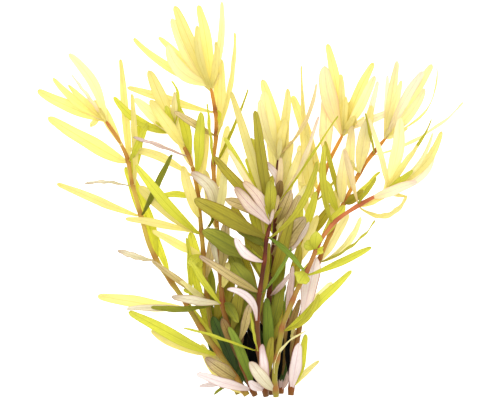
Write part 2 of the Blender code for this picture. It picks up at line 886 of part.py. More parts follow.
def collections():
    """The collection of the parts and the one of what is joined to them, which stays hidden."""
    parts, cutters = (bpy.data.collections.new(name) for name in ("rotala", "cutters"))
    for collection in (parts, cutters):
        bpy.context.scene.collection.children.link(collection)
    cutters.hide_render = True
    return parts, cutters


def build():
    """Models the whole bunch. Stems, collars and buds are laid first, then the blades."""
    clear_scene()
    parts, cutters = collections()
    bunch = bpy.data.objects.new("bunch", None)
    bunch.location = -PLAN_CENTRE * MM
    parts.objects.link(bunch)
    bed = []
    bodies = {}

    def start(name, bm):
        """Lays the body that a node's blades grow from."""
        bed.append(solid_of(name, bm))
        bodies[name] = bm

    for name, stem in STEMS.items():
        start(f"stem_{name}", stem_mesh(stem.path))
    for name, stem in STEMS.items():
        for number, ring in enumerate(stem.whorls, 1):
            start(f"leaves_{name}_{number}", collar_mesh(stem.path, ring.height))
        start(f"crown_{name}", bud_mesh(stem.path))

    def finish(name, leaves, colour):
        """Lays a node's blades and joins them to its body."""
        blades = lay_leaves(name, leaves, bed)
        body = add_object(name, bodies[name], parts, bunch, colour)
        fuse(body, blades, cutters, bunch)

    for name, stem in STEMS.items():
        path = stem.path
        low = [
            (leaf, root_on_stem(path, ring.height, stem_radius(path, ring.height) / 2))
            for ring in stem.low
            for leaf in ring.leaves
        ]
        finish(f"stem_{name}", low, stem.colour)
        for number, ring in enumerate(stem.whorls, 1):
            flat = (1 + math.cos(math.pi / COLLAR_SIDES)) / 2
            root = root_on_stem(path, ring.height, collar_radius(path, ring.height) * flat)
            leaves = [(leaf, root) for leaf in ring.leaves]
            finish(f"leaves_{name}_{number}", leaves, ring.leaves[0].colour)
        young = [
            (leaf, root_in_bud(path, BUD_ROOTS_FROM + number * BUD_ROOTS_RUN / len(stem.crown)))
            for number, leaf in enumerate(stem.crown)
        ]
        finish(f"crown_{name}", young, stem.crown[0].colour)


build()
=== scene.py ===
"""Looks of a cut bunch of rotala that lies on a pale surface, seen from straight above.

The bunch has eight stems. Each stem carries whorls of narrow leaves and ends in a crown of
young leaves round its bud. The plan is in millimetres from the middle of the cut, as in the
solid model, and every mesh is made in metres in the frame's own place.
"""

import logging
import math
import random
from collections.abc import Callable
from dataclasses import dataclass
from enum import Enum
from functools import cache, partial
from itertools import product

import bmesh
import bpy
from mathutils import Matrix, Quaternion, Vector
from mathutils.bvhtree import BVHTree
from mathutils.kdtree import KDTree


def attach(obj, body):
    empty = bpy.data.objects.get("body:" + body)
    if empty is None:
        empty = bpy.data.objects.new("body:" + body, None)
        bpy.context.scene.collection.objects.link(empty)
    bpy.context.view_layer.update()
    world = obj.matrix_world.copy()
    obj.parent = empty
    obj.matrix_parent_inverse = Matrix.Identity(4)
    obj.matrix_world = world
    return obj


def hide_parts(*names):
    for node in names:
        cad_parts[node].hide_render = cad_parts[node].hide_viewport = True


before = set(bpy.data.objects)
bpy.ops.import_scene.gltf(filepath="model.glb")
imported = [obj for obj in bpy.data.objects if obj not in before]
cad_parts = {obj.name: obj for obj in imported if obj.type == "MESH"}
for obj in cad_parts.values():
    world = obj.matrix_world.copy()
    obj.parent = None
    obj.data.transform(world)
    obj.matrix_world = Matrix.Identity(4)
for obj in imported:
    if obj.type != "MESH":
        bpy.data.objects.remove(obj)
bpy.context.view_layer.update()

log = logging.getLogger("rotala")

MM = 0.001
UP = Vector((0.0, 0.0, 1.0))

# Sizes that the solid model is built with, in millimetres.
PLAN_CENTRE = Vector((0.5, 99.1, 0.0))
STEM_RADIUS_AT_CUT = 1.4
STEM_RADIUS_AT_TOP = 0.9
GAP = 0.3
COLLAR_THICKNESS = 0.9
BUD_LENGTH = 6.0
BLADE_THICKNESS = 0.55
TIP_THICKNESS = 0.35
ROOT_PUSH = 2.0
SHORT_BLADE = 60.0
DIRECTION_REACH = 1.5

# Its counts and shares. An outline runs from root to tip: (share of length, share of half width).
COLLAR_SIDES = 6
BUD_ROOTS_FROM = 0.3
BUD_ROOTS_RUN = 0.6
LONG_OUTLINE = ((0.0, 0.16), (0.3, 0.9), (0.62, 1.0), (0.9, 0.64), (1.0, 0.2))
SHORT_OUTLINE = ((0.0, 0.18), (0.34, 1.0), (0.82, 0.8), (1.0, 0.22))
NATURAL_ARCH = 0.06
HEADING_RISE = 0.25
HANDLE_SHARE = 2 / 3

# What a blade of it may do to stay clear of its neighbours: lift its tip, bow, and swing its root
# round the stem by some degrees. A bow counts for more than a lift.
LIFTS = (0, 2, -2, 4, -4, 6, -6, 9, -9, 12, -12, 16, -16, 20, -20, 25, -25, 30)
BOWS = (0, 2, -2, 4, -4, 7, -7)
SWINGS = (0, 30, -30, 60, -60, 90, -90)
BOW_COST = 1.5
SWING_PER_LIFT = 6

# How far the corners of a solid may be from where they are looked for, in millimetres.
SAME_PLACE = 0.1
FAR_OFF = 1.0

# How a leaf that no solid stands for finds its place: how many ways it tries, how far it usually
# drops, and the strip that it is tried as, from a share of its length to its tip.
WAYS_TRIED = 240
USUAL_DROP = 4
STRIP_STATIONS = 7
STRIP_FROM = 0.12

# Sizes of the dressed pieces, in millimetres.
LEAF_THICKNESS = 0.26
GROOVE_DEPTH = 0.16
INTERNODE = 15.0
STEM_SMOOTHING = 3.0
MERGE_DISTANCE = 0.0005

# A dressed blade's faces, and how it departs from a flat one: shares of its length and of its half
# width, counts of waves, and how far a wave lags at the edge, in radians. A form runs from root to
# tip, as an outline does.
LEAF_ROWS = 30
LEAF_COLUMNS = 8
STALK_SHARE = 0.06
TIP_CROWDING = 1.35
TIP_ROUNDING = 0.9
ROUND_TIP_LIMIT = 0.4
GROOVE_WIDTH = 0.16
TWIST_MIDDLE = 0.4
CUP_LEVEL = 0.4
RIPPLE_SKEW = 0.9
RIPPLE_GROWTH = 3
EDGE_WAVES = 1.6
EDGE_SKEW = 1.8
CURL_FROM = 0.75
LONG_FORM = ((0.0, 0.3), (0.08, 0.58), (0.24, 0.93), (0.42, 1.0), (0.72, 0.82), (1.0, 0.42))
SHORT_FORM = ((0.0, 0.26), (0.18, 0.7), (0.42, 1.0), (0.74, 0.84), (1.0, 0.46))

# How deep a dressed leaf is rooted, as a share of its stem's radius, where the stem's axis is read
# to round it off, as shares of the smoothing, and the sharpest edge that is smooth, in degrees.
ROOT_DEPTH = 0.5
SMOOTHING_STEPS = (-1.0, -0.5, 0.0, 0.5, 1.0)
SHARP_ANGLE = 50.0

# Patterns on the object's own coordinates, in repeats a metre, and a relief's depth in metres.
BLOTCH_SCALE = 90.0
BLOTCH_DETAIL = 3.0
SPECKLE_SCALE = 900.0
SPECKLE_DETAIL = 2.0
RELIEF_DEPTH = 0.0003

# The numbers that a mesh holds at its points, which the finishes read.
ATTRIBUTES = ("shade", "blush", "knot", "pith")

# The sockets of a Mix node that mixes colours: its kinds of data share their names.
MIX_SHARE = 0
MIX_COLOURS = (6, 7)
MIX_RESULT = 2

# The curve by which a display's levels stand for light: a straight toe, then a power.
DISPLAY_WHITE = 255
TOE_END = 0.04045
TOE_SLOPE = 12.92
CURVE_OFFSET = 0.055
CURVE_POWER = 2.4

# The photograph's scale and the plan's zero in it, for the camera.
MM_PER_PIXEL = 0.5
CUT_MIDDLE_PIXEL = Vector((250.0, 397.0))
FRAME_PIXELS = Vector((500.0, 400.0))

Pair = tuple[float, float]
Rgb = tuple[float, float, float]
Point = tuple[float, float, float]


def paint(colour: Rgb) -> tuple[float, ...]:
    """A display colour as a socket takes it.

    Args:
        colour: Red, green and blue from 0 to 255, as a display has them.

    Returns:
        The same colour in linear values from 0 to 1, and full opacity.
    """
    def light(level: float) -> float:
        """The light that a level from 0 to 1 stands for."""
        if level <= TOE_END:
            return level / TOE_SLOPE
        return ((level + CURVE_OFFSET) / (1 + CURVE_OFFSET)) ** CURVE_POWER

    return (*(light(share / DISPLAY_WHITE) for share in colour), 1.0)


class Tint(Enum):
    """The kinds of leaf that the bunch has; the dark one is painted shade for the bunch's hollows.
    """

    YELLOW = "yellow"
    LEMON = "lemon"
    LIME = "lime"
    GREEN = "green"
    DEEP = "deep"
    # Near-black leaves: painted shade where the inside of the bunch lies in shadow.
    DARK = "dark"
    GOLD = "gold"
    OLIVE = "olive"
    MOSS = "moss"
    KHAKI = "khaki"
    MAUVE = "mauve"
    ROSE = "rose"
    CREAM = "cream"
    STRAW = "straw"
    PEACH = "peach"
    BROWN = "brown"
    DUSK = "dusk"
    DAWN = "dawn"
    BLUSH = "blush"


class Bark(Enum):
    """The kinds of stem skin."""

    RED = "red stem"
    OCHRE = "ochre stem"
    ORANGE = "orange stem"
    CORAL = "coral stem"
    DARK = "dark stem"


class Value:
    """A shader socket that takes part in Python sums."""

    def __init__(self, graph: "Graph", socket: bpy.types.NodeSocket) -> None:
        """Wraps one output socket of a graph's node."""
        self.graph = graph
        self.socket = socket

    def maths(self, operation: str, *others: "Value | float") -> "Value":
        """A Math node that starts from this value.

        Args:
            operation: The node's operation.
            others: Its further inputs.

        Returns:
            The node's result.
        """
        sockets = dict(enumerate((self, *others)))
        node = self.graph.node("ShaderNodeMath", {"operation": operation}, sockets)
        return Value(self.graph, node.outputs[0])

    def __add__(self, other: "Value | float") -> "Value":
        """This value plus another."""
        return self.maths("ADD", other)

    __radd__ = __add__

    def __mul__(self, other: "Value | float") -> "Value":
        """This value times another."""
        return self.maths("MULTIPLY", other)

    __rmul__ = __mul__

    def __sub__(self, other: "Value | float") -> "Value":
        """This value less another."""
        return self.maths("SUBTRACT", other)

    def __rsub__(self, other: float) -> "Value":
        """A number less this value."""
        return self.maths("MULTIPLY_ADD", -1.0, other)

    def size(self) -> "Value":
        """This value without its sign."""
        return self.maths("ABSOLUTE")

    def fraction(self) -> "Value":
        """What is left of this value past a whole number."""
        return self.maths("FRACT")

    def step(self, low: float, high: float) -> "Value":
        """A smooth step from 0 at low to 1 at high, or down if high is below low."""
        settings = {"interpolation_type": "SMOOTHSTEP"}
        inputs = {"Value": self, "From Min": low, "From Max": high}
        node = self.graph.node("ShaderNodeMapRange", settings, inputs)
        return Value(self.graph, node.outputs[0])

    def stripes(self, edge: float, core: float) -> "Value":
        """A line half way between whole numbers, given how far its edge and core are from it."""
        return (self.fraction() - 0.5).size().step(edge, core)

    def spread(self, base: float, share: float) -> "Value":
        """A base and a share of this value on top of it."""
        return self * share + base


class Graph:
    """The nodes of one material."""

    def __init__(self, name: str) -> None:
        """Makes a material with an empty node tree."""
        self.material = bpy.data.materials.new(name)
        self.material.use_nodes = True
        self.tree = self.material.node_tree
        self.tree.nodes.clear()

    def node(
        self,
        kind: str,
        settings: dict[str, object] | None = None,
        inputs: dict[str | int, object] | None = None,
    ) -> bpy.types.Node:
        """Adds a node.

        Args:
            kind: The node's type.
            settings: Its own properties. A ramp's stops come as a list of (place, colour).
            inputs: The value, or the socket to link, for each of its inputs.

        Returns:
            The node.
        """
        made = self.tree.nodes.new(kind)
        for key, value in (settings or {}).items():
            if key == "stops":
                self.set_stops(made.color_ramp, value)
            else:
                setattr(made, key, value)
        for key, value in (inputs or {}).items():
            if isinstance(value, Value):
                value = value.socket
            if isinstance(value, bpy.types.NodeSocket):
                self.tree.links.new(value, made.inputs[key])
            else:
                made.inputs[key].default_value = value
        return made

    @staticmethod
    def set_stops(ramp: bpy.types.ColorRamp, stops: list[tuple[float, Rgb]]) -> None:
        """Gives a ramp its stops, each a place and a colour."""
        ramp.interpolation = "B_SPLINE"
        while len(ramp.elements) < len(stops):
            ramp.elements.new(1.0)
        for element, (place, colour) in zip(ramp.elements, stops):
            element.position = place
            element.color = paint(colour)

    def value(self, kind: str, output: str, settings: dict | None = None,
              inputs: dict | None = None) -> Value:
        """One output of a new node, as a value."""
        return Value(self, self.node(kind, settings, inputs).outputs[output])

    def mix(self, share: "Value | float", first: Rgb | bpy.types.NodeSocket,
            second: Rgb | bpy.types.NodeSocket, blend: str = "MIX") -> bpy.types.NodeSocket:
        """Mixes two colours.

        Args:
            share: How much of the second one.
            first: A display colour or a colour socket.
            second: The other.
            blend: The way of mixing.

        Returns:
            The mixed colour's socket.
        """
        settings = {"data_type": "RGBA", "blend_type": blend}
        inputs = {MIX_SHARE: share}
        for place, colour in zip(MIX_COLOURS, (first, second)):
            linked = isinstance(colour, bpy.types.NodeSocket)
            inputs[place] = colour if linked else paint(colour)
        return self.node("ShaderNodeMix", settings, inputs).outputs[MIX_RESULT]

    def toned(self, colour: bpy.types.NodeSocket, tone: Value) -> bpy.types.NodeSocket:
        """A colour made darker or brighter by a tone."""
        grey = self.node("ShaderNodeCombineColor", {}, {0: tone, 1: tone, 2: tone})
        return self.mix(1.0, colour, grey.outputs["Color"], blend="MULTIPLY")

    def skin(self, colour: bpy.types.NodeSocket, roughness: Value, shine: float, height: Value,
             relief: float) -> bpy.types.NodeSocket:
        """A skin with a fine relief.

        Args:
            colour: Its colour.
            roughness: How matt it is.
            shine: How much it mirrors.
            height: The relief's height.
            relief: How strongly the relief shows.

        Returns:
            The shader's socket.
        """
        heights = {"Strength": relief, "Distance": RELIEF_DEPTH, "Height": height}
        bump = self.node("ShaderNodeBump", {}, heights)
        inputs = {
            "Base Color": colour,
            "Roughness": roughness,
            "Specular IOR Level": shine,
            "Normal": bump.outputs["Normal"],
        }
        return self.node("ShaderNodeBsdfPrincipled", {}, inputs).outputs[0]

    def noise(self, scale: float, detail: float,
              vector: bpy.types.NodeSocket | None = None) -> Value:
        """Noise on the object's own coordinates, or on a vector given."""
        if vector is None:
            vector = self.node("ShaderNodeTexCoord").outputs["Object"]
        inputs = {"Vector": vector, "Scale": scale, "Detail": detail}
        return self.value("ShaderNodeTexNoise", "Fac", {}, inputs)

    def surface_place(self) -> tuple[Value, Value]:
        """Where a point lies on its blade or stem: along it and across it, each from 0 to 1."""
        uv = self.node("ShaderNodeUVMap", {"uv_map": "surface"}).outputs["UV"]
        split = self.node("ShaderNodeSeparateXYZ", {}, {0: uv})
        return Value(self, split.outputs["X"]), Value(self, split.outputs["Y"])

    def attribute(self, name: str) -> Value:
        """A number that the mesh holds at each of its points."""
        return self.value("ShaderNodeAttribute", "Fac", {"attribute_name": name})

    def end(self, shader: bpy.types.NodeSocket) -> bpy.types.Material:
        """Puts a shader on the material's output."""
        self.node("ShaderNodeOutputMaterial", {}, {"Surface": shader})
        return self.material


@dataclass(frozen=True)
class LeafMarks:
    """The marks on a leaf's skin.

    Across a leaf 0 is the midrib and 1 the edge, and along it 0 is the root and 1 the tip. An
    edge is a pair: where a smooth step begins and where it ends. A tone or a light is a base and
    the share of a noise that is added to it.
    """

    middle_run: Pair = (0.45, 0.7)
    midrib_edge: Pair = (0.14, 0.02)
    branches: float = 9.0
    branch_slant: float = 1.4
    branch_edge: Pair = (0.2, 0.03)
    branch_share: float = 0.25
    lines: float = 3.2
    lines_start: float = 0.4
    line_edge: Pair = (0.32, 0.06)
    line_share: float = 0.5
    veined_edge: Pair = (1.0, 0.6)
    rim_edge: Pair = (0.92, 1.08)
    rim_tip_edge: Pair = (0.85, 1.0)
    rim_tip_share: float = 0.2
    rim_blotch_share: float = 0.24
    grain_along: float = 2.6
    grain_across: float = 9.0
    grain_apart: float = 90.0
    grain_detail: float = 4.0
    streak_edge: Pair = (0.42, 0.66)
    blush_tip_edge: Pair = (0.55, 1.0)
    blush_tip_share: float = 0.7
    blush_side_edge: Pair = (0.5, 1.0)
    blush_side_share: float = 0.35
    blotch_tone: Pair = (0.86, 0.28)
    speckle_tone: Pair = (0.93, 0.14)
    speckle_roughness: float = 0.18
    midrib_height: float = 0.6
    branch_height: float = 0.3
    line_height: float = 0.25
    speckle_height: float = 0.5
    relief: float = 0.35
    vein_shadow: float = 0.5
    blotch_light: Pair = (0.8, 0.3)


@dataclass(frozen=True)
class LeafFinish:
    """A leaf's skin: its display colours from root to tip, and the light that passes through."""

    root: Rgb
    middle: Rgb
    tip: Rgb
    vein: Rgb
    rim: Rgb
    glow: Rgb
    through: float
    vein_strength: float = 0.6
    rim_strength: float = 0.8
    streak_strength: float = 0.42
    roughness: float = 0.42
    shine: float = 0.16
    marks: LeafMarks = LeafMarks()

    def material(self, name: str) -> bpy.types.Material:
        """Makes the material.

        Args:
            name: The material's name.

        Returns:
            A Principled skin mixed with a translucent one, on the leaf's own coordinates.
        """
        graph = Graph(name)
        marks = self.marks
        along, across = graph.surface_place()
        side = (across - 0.5).size() * 2.0
        shade = graph.attribute("shade")
        blotches = graph.noise(BLOTCH_SCALE, BLOTCH_DETAIL)
        speckles = graph.noise(SPECKLE_SCALE, SPECKLE_DETAIL)

        start, end = marks.middle_run
        stops = [(0.0, self.root), (start, self.middle), (end, self.middle), (1.0, self.tip)]
        ramp = graph.node("ShaderNodeValToRGB", {"stops": stops}, {"Fac": along})

        midrib = side.step(*marks.midrib_edge)
        slanted = along * marks.branches - side * marks.branch_slant
        branches = slanted.stripes(*marks.branch_edge)
        lines = (side * marks.lines + marks.lines_start).stripes(*marks.line_edge)
        fine = branches * marks.branch_share + lines * marks.line_share
        veins = (midrib + fine * side.step(*marks.veined_edge)) * self.vein_strength

        near_tip = along.step(*marks.rim_tip_edge) * marks.rim_tip_share
        rim = (side + near_tip + blotches * marks.rim_blotch_share).step(*marks.rim_edge)

        grain = {
            0: along * marks.grain_along,
            1: across * marks.grain_across,
            2: shade * marks.grain_apart,
        }
        vector = graph.node("ShaderNodeCombineXYZ", {}, grain).outputs[0]
        streaks = graph.noise(1.0, marks.grain_detail, vector).step(*marks.streak_edge)

        to_tip = along.step(*marks.blush_tip_edge) * marks.blush_tip_share
        to_side = side.step(*marks.blush_side_edge) * marks.blush_side_share
        blush = graph.attribute("blush") * (to_tip + to_side)

        colour = graph.mix(streaks * self.streak_strength, ramp.outputs["Color"], self.root)
        colour = graph.mix(veins, colour, self.vein)
        colour = graph.mix(rim * self.rim_strength, colour, self.rim)
        colour = graph.mix(blush, colour, self.rim)
        tone = shade * blotches.spread(*marks.blotch_tone) * speckles.spread(*marks.speckle_tone)
        colour = graph.toned(colour, tone)

        height = midrib * marks.midrib_height + branches * marks.branch_height
        height = height + lines * marks.line_height + speckles * marks.speckle_height
        roughness = speckles.spread(self.roughness, marks.speckle_roughness)
        skin = graph.skin(colour, roughness, self.shine, height, marks.relief)
        light = graph.node("ShaderNodeBsdfTranslucent", {}, {"Color": paint(self.glow)})
        share = self.through * (1.0 - marks.vein_shadow * veins)
        share = share * blotches.spread(*marks.blotch_light)
        shaders = {0: share, 1: skin, 2: light.outputs[0]}
        return graph.end(graph.node("ShaderNodeMixShader", {}, shaders).outputs[0])


@dataclass(frozen=True)
class StemFinish:
    """A stem's skin: its display colours from the cut to the top, and where leaves grow.

    A tone is a base and the share of a noise that is added to it.
    """

    pith: Rgb
    low: Rgb
    high: Rgb
    top: Rgb
    knot: Rgb
    low_to: float = 0.35
    high_at: float = 0.7
    streaks_along: float = 9.0
    streaks_across: float = 26.0
    streak_detail: float = 3.0
    knot_strength: float = 0.7
    streak_tone: Pair = (0.72, 0.5)
    blotch_tone: Pair = (0.85, 0.3)
    roughness: float = 0.34
    streak_roughness: float = 0.2
    shine: float = 0.18
    relief: float = 0.4
    blotch_height: float = 0.4

    def material(self, name: str) -> bpy.types.Material:
        """Makes the material.

        Args:
            name: The material's name.

        Returns:
            A glossy skin with fine streaks along the stem.
        """
        graph = Graph(name)
        along, across = graph.surface_place()
        stops = [(0.0, self.low), (self.low_to, self.low), (self.high_at, self.high),
                 (1.0, self.top)]
        ramp = graph.node("ShaderNodeValToRGB", {"stops": stops}, {"Fac": along})
        grain = {0: along * self.streaks_along, 1: across * self.streaks_across}
        vector = graph.node("ShaderNodeCombineXYZ", {}, grain).outputs[0]
        streaks = graph.noise(1.0, self.streak_detail, vector)
        blotches = graph.noise(BLOTCH_SCALE, BLOTCH_DETAIL)
        colour = graph.mix(graph.attribute("blush"), ramp.outputs["Color"], self.top)
        colour = graph.mix(graph.attribute("knot") * self.knot_strength, colour, self.knot)
        colour = graph.mix(graph.attribute("pith"), colour, self.pith)
        tone = graph.attribute("shade") * streaks.spread(*self.streak_tone)
        colour = graph.toned(colour, tone * blotches.spread(*self.blotch_tone))
        height = streaks + blotches * self.blotch_height
        roughness = streaks.spread(self.roughness, self.streak_roughness)
        return graph.end(graph.skin(colour, roughness, self.shine, height, self.relief))


# The finishes, and the record's slots that they go by.
LEAF_FINISHES = {
    Tint.YELLOW: LeafFinish(
        root=(243, 232, 122), middle=(244, 235, 172), tip=(240, 230, 156),
        vein=(234, 221, 126), rim=(227, 213, 132), glow=(248, 241, 187),
        through=0.5,
    ),
    Tint.LEMON: LeafFinish(
        root=(246, 238, 160), middle=(250, 244, 188), tip=(247, 240, 176),
        vein=(240, 228, 158), rim=(238, 222, 174), glow=(253, 250, 212),
        through=0.52,
    ),
    Tint.LIME: LeafFinish(
        root=(196, 196, 62), middle=(228, 226, 100), tip=(233, 229, 126),
        vein=(198, 199, 66), rim=(178, 180, 82), glow=(239, 239, 114),
        through=0.54,
    ),
    Tint.GREEN: LeafFinish(
        root=(98, 120, 40), middle=(150, 168, 64), tip=(176, 192, 78),
        vein=(108, 128, 44), rim=(96, 108, 42), glow=(196, 214, 68),
        through=0.36,
    ),
    Tint.DEEP: LeafFinish(
        root=(44, 60, 26), middle=(84, 110, 46), tip=(112, 138, 54),
        vein=(50, 70, 28), rim=(72, 86, 38), glow=(124, 156, 46),
        through=0.28,
    ),
    # Painted shade: near-black leaves that stand for the shaded hollows inside the bunch.
    Tint.DARK: LeafFinish(
        root=(3, 4, 3), middle=(8, 10, 7), tip=(26, 32, 15),
        vein=(5, 6, 4), rim=(34, 26, 14), glow=(24, 32, 10),
        through=0.03, shine=0.03,
    ),
    Tint.GOLD: LeafFinish(
        root=(162, 154, 50), middle=(212, 208, 82), tip=(232, 226, 112),
        vein=(168, 158, 50), rim=(150, 144, 60), glow=(236, 234, 94),
        through=0.5,
    ),
    Tint.OLIVE: LeafFinish(
        root=(114, 102, 34), middle=(188, 180, 64), tip=(220, 210, 92),
        vein=(144, 132, 42), rim=(136, 112, 50), glow=(234, 222, 74),
        through=0.36,
    ),
    Tint.MOSS: LeafFinish(
        root=(84, 84, 29), middle=(152, 152, 51), tip=(190, 186, 74),
        vein=(116, 122, 40), rim=(112, 112, 46), glow=(212, 218, 70),
        through=0.34,
    ),
    Tint.KHAKI: LeafFinish(
        root=(182, 158, 82), middle=(240, 220, 164), tip=(244, 224, 186),
        vein=(178, 154, 96), rim=(160, 128, 98), glow=(244, 234, 154),
        through=0.32, vein_strength=0.7,
    ),
    Tint.MAUVE: LeafFinish(
        root=(206, 174, 152), middle=(244, 226, 222), tip=(250, 236, 230),
        vein=(204, 160, 156), rim=(166, 120, 112), glow=(252, 236, 222),
        through=0.28, vein_strength=0.6,
    ),
    Tint.ROSE: LeafFinish(
        root=(236, 212, 198), middle=(254, 246, 244), tip=(255, 249, 247),
        vein=(230, 198, 198), rim=(190, 146, 140), glow=(255, 247, 240),
        through=0.28, vein_strength=0.5,
    ),
    Tint.CREAM: LeafFinish(
        root=(206, 196, 148), middle=(244, 237, 216), tip=(248, 242, 230),
        vein=(206, 188, 150), rim=(178, 140, 118), glow=(252, 248, 216),
        through=0.3, vein_strength=0.6,
    ),
    Tint.STRAW: LeafFinish(
        root=(246, 235, 134), middle=(250, 243, 194), tip=(250, 243, 202),
        vein=(240, 220, 160), rim=(230, 204, 172), glow=(253, 249, 212),
        through=0.5, vein_strength=0.6,
    ),
    Tint.PEACH: LeafFinish(
        root=(244, 224, 142), middle=(250, 235, 192), tip=(250, 237, 202),
        vein=(236, 208, 162), rim=(222, 188, 164), glow=(254, 245, 208),
        through=0.48, vein_strength=0.6,
    ),
    Tint.BROWN: LeafFinish(
        root=(112, 84, 36), middle=(176, 146, 82), tip=(206, 176, 122),
        vein=(120, 88, 46), rim=(124, 88, 66), glow=(204, 180, 96),
        through=0.3, vein_strength=0.7,
    ),
    Tint.DUSK: LeafFinish(
        root=(168, 152, 72), middle=(230, 208, 150), tip=(242, 222, 208),
        vein=(148, 124, 72), rim=(146, 108, 94), glow=(234, 222, 152),
        through=0.3, vein_strength=0.7,
    ),
    Tint.DAWN: LeafFinish(
        root=(252, 228, 228), middle=(252, 234, 204), tip=(250, 236, 166),
        vein=(216, 172, 164), rim=(178, 128, 118), glow=(254, 245, 220),
        through=0.26, vein_strength=0.6,
    ),
    Tint.BLUSH: LeafFinish(
        root=(246, 234, 170), middle=(251, 242, 216), tip=(251, 239, 229),
        vein=(240, 214, 202), rim=(234, 196, 204), glow=(254, 249, 224),
        through=0.54, vein_strength=0.6,
    ),
}
STEM_FINISHES = {
    Bark.RED: StemFinish(
        pith=(224, 206, 130), low=(158, 136, 54), high=(212, 184, 82),
        top=(190, 118, 54), knot=(158, 96, 36),
    ),
    Bark.OCHRE: StemFinish(
        pith=(226, 210, 148), low=(156, 136, 50), high=(184, 146, 54),
        top=(200, 140, 58), knot=(140, 86, 28),
    ),
    Bark.ORANGE: StemFinish(
        pith=(230, 204, 128), low=(122, 78, 28), high=(206, 154, 60),
        top=(208, 138, 54), knot=(128, 56, 20),
    ),
    Bark.DARK: StemFinish(
        pith=(188, 160, 104), low=(108, 72, 34), high=(86, 38, 16),
        top=(82, 27, 14), knot=(124, 58, 24),
    ),
    Bark.CORAL: StemFinish(
        pith=(226, 204, 140), low=(150, 140, 52), high=(176, 122, 56),
        top=(222, 118, 76), knot=(160, 82, 50),
    ),
}
SLOTS = {
    Tint.YELLOW: "leaf_yellow", Tint.LEMON: "leaf_yellow", Tint.LIME: "leaf_lime",
    Tint.GREEN: "leaf_green", Tint.DEEP: "leaf_green", Tint.DARK: "leaf_green",
    Tint.GOLD: "leaf_olive", Tint.OLIVE: "leaf_olive", Tint.MOSS: "leaf_olive",
    Tint.KHAKI: "leaf_khaki", Tint.DUSK: "leaf_khaki", Tint.MAUVE: "leaf_rose",
    Tint.ROSE: "leaf_rose", Tint.CREAM: "leaf_rose", Tint.DAWN: "leaf_rose",
    Tint.STRAW: "leaf_straw", Tint.PEACH: "leaf_straw", Tint.BLUSH: "leaf_straw",
    Tint.BROWN: "leaf_khaki", Bark.RED: "stem_red", Bark.OCHRE: "stem_ochre",
    Bark.ORANGE: "stem_orange", Bark.DARK: "stem_dark", Bark.CORAL: "stem_red",
}


@cache
def finish_of(kind: Tint | Bark) -> bpy.types.Material:
    """The material of a tint or a bark, made once."""
    table = LEAF_FINISHES if isinstance(kind, Tint) else STEM_FINISHES
    return table[kind].material(kind.value.replace(" ", "_"))


@dataclass(frozen=True)
class Leaf:
    """A leaf of the plan: its tip, and how it rises above its root, bends and rolls."""

    x: float
    y: float
    rise: float
    bend: float
    roll: float
    width: float
    tint: Tint


@dataclass(frozen=True)
class Whorl:
    """The leaves that grow at one height of a stem."""

    height: float
    leaves: tuple[Leaf, ...]


def crown(*rows: tuple) -> tuple[Leaf, ...]:
    """The leaves of some rows of numbers, each with the name of its tint last."""
    return tuple(Leaf(*row[:-1], Tint(row[-1])) for row in rows)


def whorl(height: float, *rows: tuple) -> Whorl:
    """A whorl of some rows of numbers."""
    return Whorl(height, crown(*rows))


@dataclass(frozen=True)
class Root:
    """Where a leaf starts: inside its stem, at its root outside it, and the way it leaves."""

    inner: Vector
    outer: Vector
    outward: Vector


@dataclass(frozen=True)
class Course:
    """The line that a blade follows, how far it is turned about it, and its outline."""

    inner: Vector
    ends: tuple[Vector, Vector, Vector, Vector]
    roll: float
    width: float
    outline: tuple[Pair, ...]

    @staticmethod
    def of(leaf: Leaf, root: Root, lift: float, bow: float, short: bool) -> "Course":
        """The course of a leaf of the plan.

        Args:
            leaf: The leaf.
            root: Where it starts.
            lift: How far its tip is raised.
            bow: How far its middle is raised.
            short: Whether it has a short blade's outline.

        Returns:
            Its course in millimetres of the plan.
        """
        start = root.outer
        tip = Vector((leaf.x, leaf.y, max(start.z + leaf.rise + lift, TIP_THICKNESS / 2)))
        run = tip - start
        right = run.cross(UP).normalized()
        arch = 2 * bow + NATURAL_ARCH * run.length
        middle = (start + tip) / 2 + right * (2 * leaf.bend) + UP * arch
        near = start + (middle - start) * HANDLE_SHARE + root.outward * ROOT_PUSH
        far = tip + (middle - tip) * HANDLE_SHARE
        outline = SHORT_OUTLINE if short else LONG_OUTLINE
        return Course(root.inner, (start, near, far, tip), leaf.roll, leaf.width, outline)

    @property
    def form(self) -> tuple[Pair, ...]:
        """The form that a dressed blade on this course has."""
        return SHORT_FORM if self.outline is SHORT_OUTLINE else LONG_FORM

    def length(self) -> float:
        """The straight distance from root to tip."""
        return (self.ends[3] - self.ends[0]).length

    def at(self, t: float, turn: float = 0.0) -> tuple[Vector, Vector, Vector]:
        """The line at one share of its length.

        Args:
            t: The share, from the root.
            turn: A further turn about the line, in degrees.

        Returns:
            The point, the way across the blade and the way out of its upper face.
        """
        a, b, c, d = self.ends
        s = 1.0 - t
        point = a * s**3 + b * (3 * s * s * t) + c * (3 * s * t * t) + d * t**3
        along = ((b - a) * (s * s) + (c - b) * (2 * s * t) + (d - c) * (t * t)).normalized()
        right = (d - a).cross(UP).normalized()
        level = (right - along * right.dot(along)).normalized()
        across = Quaternion(along, math.radians(self.roll + turn)) @ level
        return point, across, across.cross(along)

    def solid_ring(self, station: int) -> list[Vector]:
        """The corners that the solid blade has at one station: three, or the tip's one."""
        if station == len(self.outline) - 1:
            return [self.ends[3]]
        t, share = self.outline[station]
        point, across, normal = self.at(t)
        half = (BLADE_THICKNESS + (TIP_THICKNESS - BLADE_THICKNESS) * t) / 2
        side = across * (share * self.width / 2)
        ring = [point + side + normal * half, point - side + normal * half, point - normal * half]
        lowest = min(0.0, *(corner.z for corner in ring))
        return [corner - UP * lowest for corner in ring]


